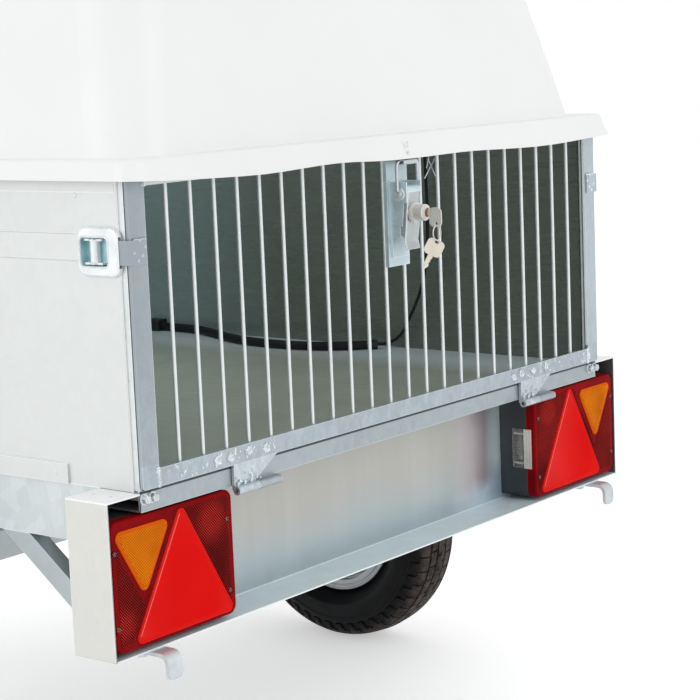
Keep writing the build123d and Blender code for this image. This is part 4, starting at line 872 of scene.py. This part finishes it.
welds.piece("gate_welds", "gate_steel", "weld_zinc", body="tailgate")

bar_welds = Shape()
for i in range(GATE_BARS):
    x = (i - (GATE_BARS - 1) / 2) * BAR_PITCH
    for z in (568, 908):
        bar_welds.blob((x, 4, z), FRONT, 3.4, 2.6, 1.3, (1, 0, 0))
bar_welds.piece("bar_welds", "gate_steel", "weld_zinc", body="tailgate")

# ---- toggle latch, lock and keys
latch = Shape()
LEVER_HALF, PIVOT_DEPTH, PIVOT, LOCK_HEIGHT = 14, -23, 858, 829
for side in (-1, 1):
    edge = [(-12.5, 860.5)]
    for a in (radians(15 + 20 * k) for k in range(7)):
        edge.append((PIVOT_DEPTH + 6.3 * cos(a), PIVOT + 6.3 * sin(a)))
    edge += [(-29.2, 855), (-27.5, 838), (-24, 806), (-21.8, 792), (-24.6, 781)]
    latch.tube([(side * LEVER_HALF, y, z) for y, z in edge], 1.1, 8)
    latch.turned((side * 16.8, -17.5, PIVOT - 4), (side, 0, 0), [
        (-0.5, 8.6), (1.2, 8.6), (1.8, 7.8), (1.9, 5.6), (1.5, 5.2), (1.5, 4.4), (2.9, 4), (3.3, 2.6), (3.35, 0.4),
    ], 24)
latch.piece("lever_edges", "zinc_bright", "white_zinc", body="tailgate")
# The roll's cap is a shell in the paler latch finish rather than the lever's, as painted light on the roll's top.
cap = [(PIVOT_DEPTH - 6.9 * cos(a), PIVOT + 6.9 * sin(a)) for a in (radians(-10 + 20 * k) for k in range(11))]
cap += [(y + (0.72 if y < PIVOT_DEPTH else -0.72), z - 0.9) for y, z in reversed(cap)]
roll = Shape().skin([[(x, y, z) for y, z in cap] for x in (-14.6, 14.6)])
roll.piece("lever_roll", "zinc_bright", "latch_zinc", body="tailgate")
Shape().skin([
    [(x, y, z) for y, z in ((-3.3, 811.6), (-20.6, 811.6), (-24, 842.4), (-3.3, 842.4))] for x in (-17, -15.5)
]).piece("latch_ear", "zinc_bright", "latch_zinc", body="tailgate")

Shape().turned((0, -47.8, LOCK_HEIGHT), REAR, [
    (-0.4, 9.4), (0.4, 9.4), (1, 8.7), (1, 6.9), (1.8, 6.5), (1.9, 2.4),
], 28).piece("lock_face", "nickel", body="tailgate")
plug = Shape().turned((0, -49.6, LOCK_HEIGHT), REAR, [(-0.6, 6.2), (0.5, 6.2), (0.9, 5.6), (0.9, 1)], 24)
plug.piece("lock_plug", "key_brass", "plug_brass", body="tailgate")
key_rims = Shape()  # raised border on both sides of the key in the lock
head = [(-68.6, 812), (-56.8, 812), (-56.8, 833.2), (-68.6, 833.2)]
for side in (-1, 1):
    key_rims.skin([
        [(side * depth, y, z) for y, z in rounded(head, 4, inset, 5)]
        for depth, inset in ((1, 0), (1.45, 0), (1.45, 0.9), (1, 0.9))
    ], ring=True)
key_rims.piece("key_rims", "nickel", body="tailgate")

stamp = Shape()  # raised border on the spare key's head
hang = Matrix.Translation((0, -64, 791)) @ Matrix.Rotation(radians(-52), 4, "Z")
hang = hang @ Matrix.Rotation(radians(28), 4, "Y")
head = [(-12, -20), (12, -20), (12, 2), (-12, 2)]
for side in (-1, 1):
    stamp.skin([
        [tuple(hang @ Vector((u, side * depth, v))) for u, v in rounded(head, 6, inset, 5)]
        for depth, inset in ((1, 0.4), (1.5, 0.4), (1.5, 1.5), (1, 1.5))
    ], ring=True)
    groove = [tuple(hang @ Vector((u, side * 1.35, v))) for u, v in ((-1.6, -22), (-1, -34), (-0.8, -40))]
    stamp.tube(groove, 0.7, 6)
stamp.piece("spare_key_border", "key_brass", body="tailgate")

# ---- side latches
pans = Shape()
mouth = [(28, 810), (74, 810), (74, 846), (28, 846)]
for side in (-1, 1):
    wall = side * WALL_FACE
    pans.skin([
        [(wall + side * depth, y, z) for y, z in rounded(mouth, 7, inset, 6)]
        for depth, inset in ((5.9, -1.6), (7.2, -1), (7.4, 0.3), (6.4, 1.2), (4.8, 1.4), (4.6, -1.2))
    ], ring=True)
    for out, rivet_z, seat_z in ((UP, 842.5, 841.2), (DOWN, 813.5, 814.8)):
        pans.rivet((wall + side * 2.6, 55, rivet_z), out, 2.4)
        pans.turned((wall - side * 1.2, 55, seat_z), out, [
            (-0.5, 7.6), (1, 7.6), (1.6, 6.8), (1.6, 3), (2.6, 2.6), (2.7, 0.5),
        ], 20)
pans.piece("latch_pan_rims", "zinc_bright", "white_zinc")

# ---- body rivets and small fixings
rivets = Shape()
for side in (-1, 1):
    out = (side, 0, 0)
    rivets.rivet((side * 510.6, 83, 892), out, 3)
    for k in range(6):
        rivets.rivet((side * 513.4, 140 + 204 * k, 561), out)
        rivets.rivet((side * 511.5, 140 + 204 * k, 922), out, 2.6)
    for z in (600, 680, 760):
        for y in (17.5, 1219):
            rivets.rivet((side * 510.4, y, z), out, 2.8)
    for x in (120, 260, 400):
        for z in (915, 568):
            rivets.rivet((side * x, 1229.9, z), FRONT, 2.8)
    for y in (24, 52):
        rivets.rivet((side * 540, y, 548.5), UP, 2.8)
rivets.piece("body_rivets", "wall_sheet")

fixings = Shape()
for side in (-1, 1):
    out = (side, 0, 0)
    for y in (446, 466, 706, 726):  # mudguard brackets
        fixings.bolt((side * 514.7, y, 512), out, 10)
    for y in (656, 736):  # axle brackets
        fixings.bolt((side * 497, y, 476.5), DOWN, 13, stud=5)
    for x, y, z in ((510.6, 99, 488), (510.6, 95, 516), (509, 118, 445)):  # light board's stays
        fixings.bolt((side * x, y, z), out, 10)
    for x in (520, 553):
        fixings.bolt((side * x, 71, 540), FRONT, 8)
    for x in (306, 354):  # lid's hinge bases
        fixings.rivet((side * x, 1233.2, 880), FRONT, 3)
    fixings.bolt((side * 33.5, 1690, 449), out, 13, stud=4)
    for y in (1900, 1960):  # coupling
        fixings.bolt((side * 34.2, y, 449), out, 17, stud=5)
    for y in (676, 716):  # axle's saddle
        fixings.bolt((side * 34.1, y, 380), out, 13)
fixings.piece("body_bolts", "zinc_bright")

lid_screws = Shape()
for centre in (-330, 330):
    for x in (-25, 25):
        for z in (912, 922):
            lid_screws.rivet((centre + x, 1255.1, z), FRONT, 2.8)
lid_screws.piece("lid_hinge_rivets", "zinc_bright", body="lid")
catch = Shape()
for x, z, size in ((-6.8, 921, 1.7), (-6.3, 917, 1.5), (-5, 908, 1.9)):
    catch.blob((x, -26, z), REAR, size * 1.3, size, 0.7, (0, 0, 1))
catch.piece("catch_fixings", "zinc_bright", "hook_zinc", body="lid")
wires = Shape()  # thin wires that cross beside the catch
for start, end in (
    ((84.7, 14, 866.5), (114, 14, 896)), ((94, 14, 893), (116.5, 16.5, 864)),
    ((97, 14, 897), (93.5, 16.5, 880)),
):
    wires.tube([start, end], 0.75, 8)
wires.piece("catch_wires", "zinc_bright", body="lid")

# ---- wheels
def on_wheel(side, x, radius, turn):
    """A point x beyond a road wheel's middle and a radius from its axle."""
    return (side * (WHEEL_MID + x), WHEEL_STATION + radius * sin(turn), WHEEL_HEIGHT + radius * cos(turn))


def smooth_profile(points, steps):
    """Catmull-Rom curve through (x, radius) points."""
    points = [Vector(point) for point in points]
    points = [points[0] * 2 - points[1]] + points + [points[-1] * 2 - points[-2]]
    curve = []
    for i in range(1, len(points) - 2):
        a, b, c, d = points[i - 1:i + 3]
        for k in range(steps):
            t = k / steps
            curve.append(
                0.5 * (2 * b + (c - a) * t + (2 * a - 5 * b + 4 * c - d) * t * t + (3 * b - a - 3 * c + d) * t ** 3)
            )
    return curve + [points[-2]]


TYRE_SIDE = [(-35.65, 123.5), (-56.2, 146), (-57.3, 162), (-50.6, 188), (-35.65, 205), (0, 209.9)]
TYRE_PITCHES = 46
PITCH_STEPS = (
    0, 0.02, 0.105, 0.125, 0.2, 0.22, 0.3, 0.32, 0.42, 0.44, 0.52, 0.54, 0.62, 0.7, 0.78, 0.86, 0.88, 0.94,
)
# Tread rows by distance from the middle: inner edge, outer edge, groove's start and end in the pitch.
TREAD_ROWS = (
    (0, 9, 0.015, 0.11), (13, 27, 0.435, 0.525), (31, 49, 0.215, 0.305), (49, 64, -0.1, 0.435),
)
# Further distances from the middle at which the section has a point, out to the beads.
SECTION_MARKS = (4.5, 20, 36, 42, 54, 59, 67, 70, 74, 75, 77, 78, 84, 90, 97, 99, 101, 103, 105)
TREAD_EDGE = 64
DEEP_GROOVE, SHALLOW_GROOVE = 5.5, 3


def tread_depth(distance, share):
    """How deep the tread lies at a distance from the middle and a share of its pitch."""
    groove = DEEP_GROOVE if distance < 45 else SHALLOW_GROOVE
    for low, high, start, end in TREAD_ROWS:
        if low - 0.01 <= distance <= high + 0.01:
            return groove if start <= share <= end or (start < 0 and share > 0.87) else 0
    if distance > TREAD_EDGE:
        return SHALLOW_GROOVE * max(0, 1 - (distance - TREAD_EDGE) / 5)
    return groove


def tyre_section():
    """Points across a tyre: distance from its middle, place and direction outwards."""
    half = smooth_profile(TYRE_SIDE, 14)
    curve = half + [Vector((-p.x, p.y)) for p in reversed(half[:-1])]
    lengths = [0]
    for a, b in zip(curve, curve[1:]):
        lengths.append(lengths[-1] + (b - a).length)
    middle = lengths[-1] / 2
    marks = {middle, *SECTION_MARKS}
    for low, high, _, _ in TREAD_ROWS:
        marks |= {low, high, low - 0.8 if low else 0, high + 0.8}
    section = []
    for distance in sorted({sign * m for m in marks if m <= middle for sign in (-1, 1)}):
        target = middle + distance
        i = max(k for k in range(len(lengths) - 1) if lengths[k] <= target + 1e-6)
        t = (target - lengths[i]) / (lengths[i + 1] - lengths[i])
        along = (curve[i + 1] - curve[i]).normalized()
        section.append((distance, curve[i].lerp(curve[i + 1], t), Vector((-along.y, along.x))))
    return section


def tyre(name, side):
    """Block-treaded tyre over the CAD section, with a groove net and ribs on its sides."""
    section = tyre_section()
    rings = []
    for pitch in range(TYRE_PITCHES):
        for share in PITCH_STEPS:
            outline = []
            for distance, spot, normal in section:
                far = abs(distance)
                lean = 0.3 * min(far, TREAD_EDGE) / TREAD_EDGE * (1 if distance > 0 else -1)
                lean += 0.5 if distance > 0 else 0  # the two halves' blocks lie half a pitch apart
                sunk = tread_depth(far, share)
                if 74.5 < far < 77.5 or 99.5 < far < 103.5:  # a rib on the side
                    sunk -= 0.9
                place = spot - normal * sunk if spot.y > 120 else spot
                outline.append(on_wheel(side, place.x, place.y, 2 * pi * (pitch + share + lean) / TYRE_PITCHES))
            turn = 2 * pi * (pitch + share) / TYRE_PITCHES
            for x, radius in ((35.2, 123.4), (35.2, 108.2), (-35.2, 108.2), (-35.2, 123.4)):  # bead on the rim
                outline.append(on_wheel(side, x, radius, turn))
            rings.append(outline)
    shape = Shape().skin(rings, ring=True)
    shape.piece(f"{name}_tread", "tyre_rubber", replaced=[name], smooth=38, body=name.replace("tyre", "wheel"))


tyre("tyre_left", -1)
tyre("tyre_right", 1)

for side, name in ((-1, "left"), (1, "right")):
    out = (side, 0, 0)
    hub = Shape().turned(on_wheel(side, 8, 0, 0), out, [
        (24, 22), (25, 27.5), (27.5, 27.8), (36, 26), (41, 22), (43.5, 14), (44, 4),
    ], 40)
    for k in range(4):
        spot = on_wheel(side, 10, 46, radians(45 + 90 * k))
        hub.turned(spot, out, [
            (-0.5, 13.5), (0.6, 13.5), (3, 11.2), (3, 10.9), (13, 10.9), (15.5, 9), (15.6, 1),
        ], 6)
        hub.turned(spot, out, [(15, 5.4), (17.5, 5.4), (18.5, 4.6), (18.6, 0.5)], 16)
    valve = [(0, 5.6), (4, 5.4), (6, 3.4), (22, 3), (23, 4), (31, 4), (32, 3)]
    hub.turned(on_wheel(side, 6, 94, radians(20)), out, valve, 14)
    hub.piece(f"wheel_cap_{name}", "zinc_bright", body=f"wheel_{name}")
    steps = Shape()
    for x, away in ((-40.2, -side), (40.2, side)):
        steps.turned(on_wheel(side, x, 0, 0), (away, 0, 0), [
            (-1.5, 121.4), (0.6, 122), (1.4, 120.6), (1.4, 118.8), (-0.6, 117.2), (-0.8, 107.6), (-6, 104.2),
            (-6, 106.5), (-2.2, 110),
        ], 96, ring=True)
    for x, radius, size in ((-41.2, 113.4, 1.5), (-27, 103.4, 2.4), (-12, 102.4, 2.8), (24, 103.4, 2.4)):
        ridge = [(size * cos(a), radius + size * sin(a)) for a in (pi * k / 5 for k in range(10))]
        steps.turned(on_wheel(side, x, 0, 0), out, ridge, 96, ring=True)
    steps.piece(f"rim_steps_{name}", "rim_silver", body=f"wheel_{name}")

# ---- mudguard beads and jockey wheel
beads = Shape()
for side in (-1, 1):
    for x in (-68.3, 73.5):
        beads.tube([on_wheel(side, x, 254.2, radians(-83 + 166 * k / 60)) for k in range(61)], 1.8, 8)
beads.piece("mudguard_beads", "guard_steel")

jockey = Shape()
for k in range(10):
    jockey.turned((JOCKEY_X, JOCKEY_STATION - 78, 653.5 + 5.2 * k), UP, [
        (0, 9.8), (0.6, 10.6), (2.6, 10.6), (3.2, 9.8),
    ], 20)
jockey.piece("jockey_grip", "lamp_black", body="jockey_tube")
fork = Shape()
for side in (-1, 1):
    fork.bolt((JOCKEY_X + side * 36.2, JOCKEY_STATION - 30, 95), (side, 0, 0), 16, stud=4)
fork.piece("jockey_axle_nuts", "zinc_bright", body="jockey_fork")

# ---- floor, world and lamps
floor_mesh = bpy.data.meshes.new("ground")
FLOOR_HALF = 14
corners = [(FLOOR_HALF * x, FLOOR_HALF * y, 0) for x, y in ((-1, -1), (1, -1), (1, 1), (-1, 1))]
floor_mesh.from_pydata(corners, [], [(0, 1, 2, 3)])
ground = placed("ground", floor_mesh)
ground.location.z = -0.0004

paper = Finish("ground_paper", Roughness=0.8)
paper.colour(paper.mix(paper.noise(3, 2), "#e9e9e9", "#eeeeee"))
paper.inputs["Emission Color"].default_value = (1, 1, 1, 1)
paper.drive("Emission Strength", paper.times(paper.seen_directly(), 0.42))
floor_mesh.materials.append(paper.material)

scene.world = bpy.data.worlds.new("studio")
sky = Graph(scene.world, "Background")
sky.inputs["Color"].default_value = (1, 1, 1, 1)
sky.drive("Strength", sky.spread(sky.seen_directly(), 0.82, 1))


def lamp(name, place, target, size, power, tint=(1, 1, 1)):
    """A square soft lamp that faces its target."""
    data = bpy.data.lights.new(name, "AREA")
    data.color = tint
    data.shape = "SQUARE"
    data.size = size
    data.energy = power
    made = placed(name, data)
    made.location = place
    made.rotation_euler = (Vector(target) - Vector(place)).to_track_quat("-Z", "Y").to_euler()
    return made


lamp("key", (-4.3, 0.4, 2.6), (0, -0.3, 0.6), 3, 50)
lamp("fill", (0.8, -4.5, 2.2), (0, -0.6, 0.6), 2.5, 33)
# Daylight through the pale hood.
glow = lamp("hood_glow", (0, -0.35, 1.2), (0, -0.35, 0.6), 0.6, 2.6, (0.93, 1, 0.98))
glow.visible_camera = False
glow.visible_glossy = False
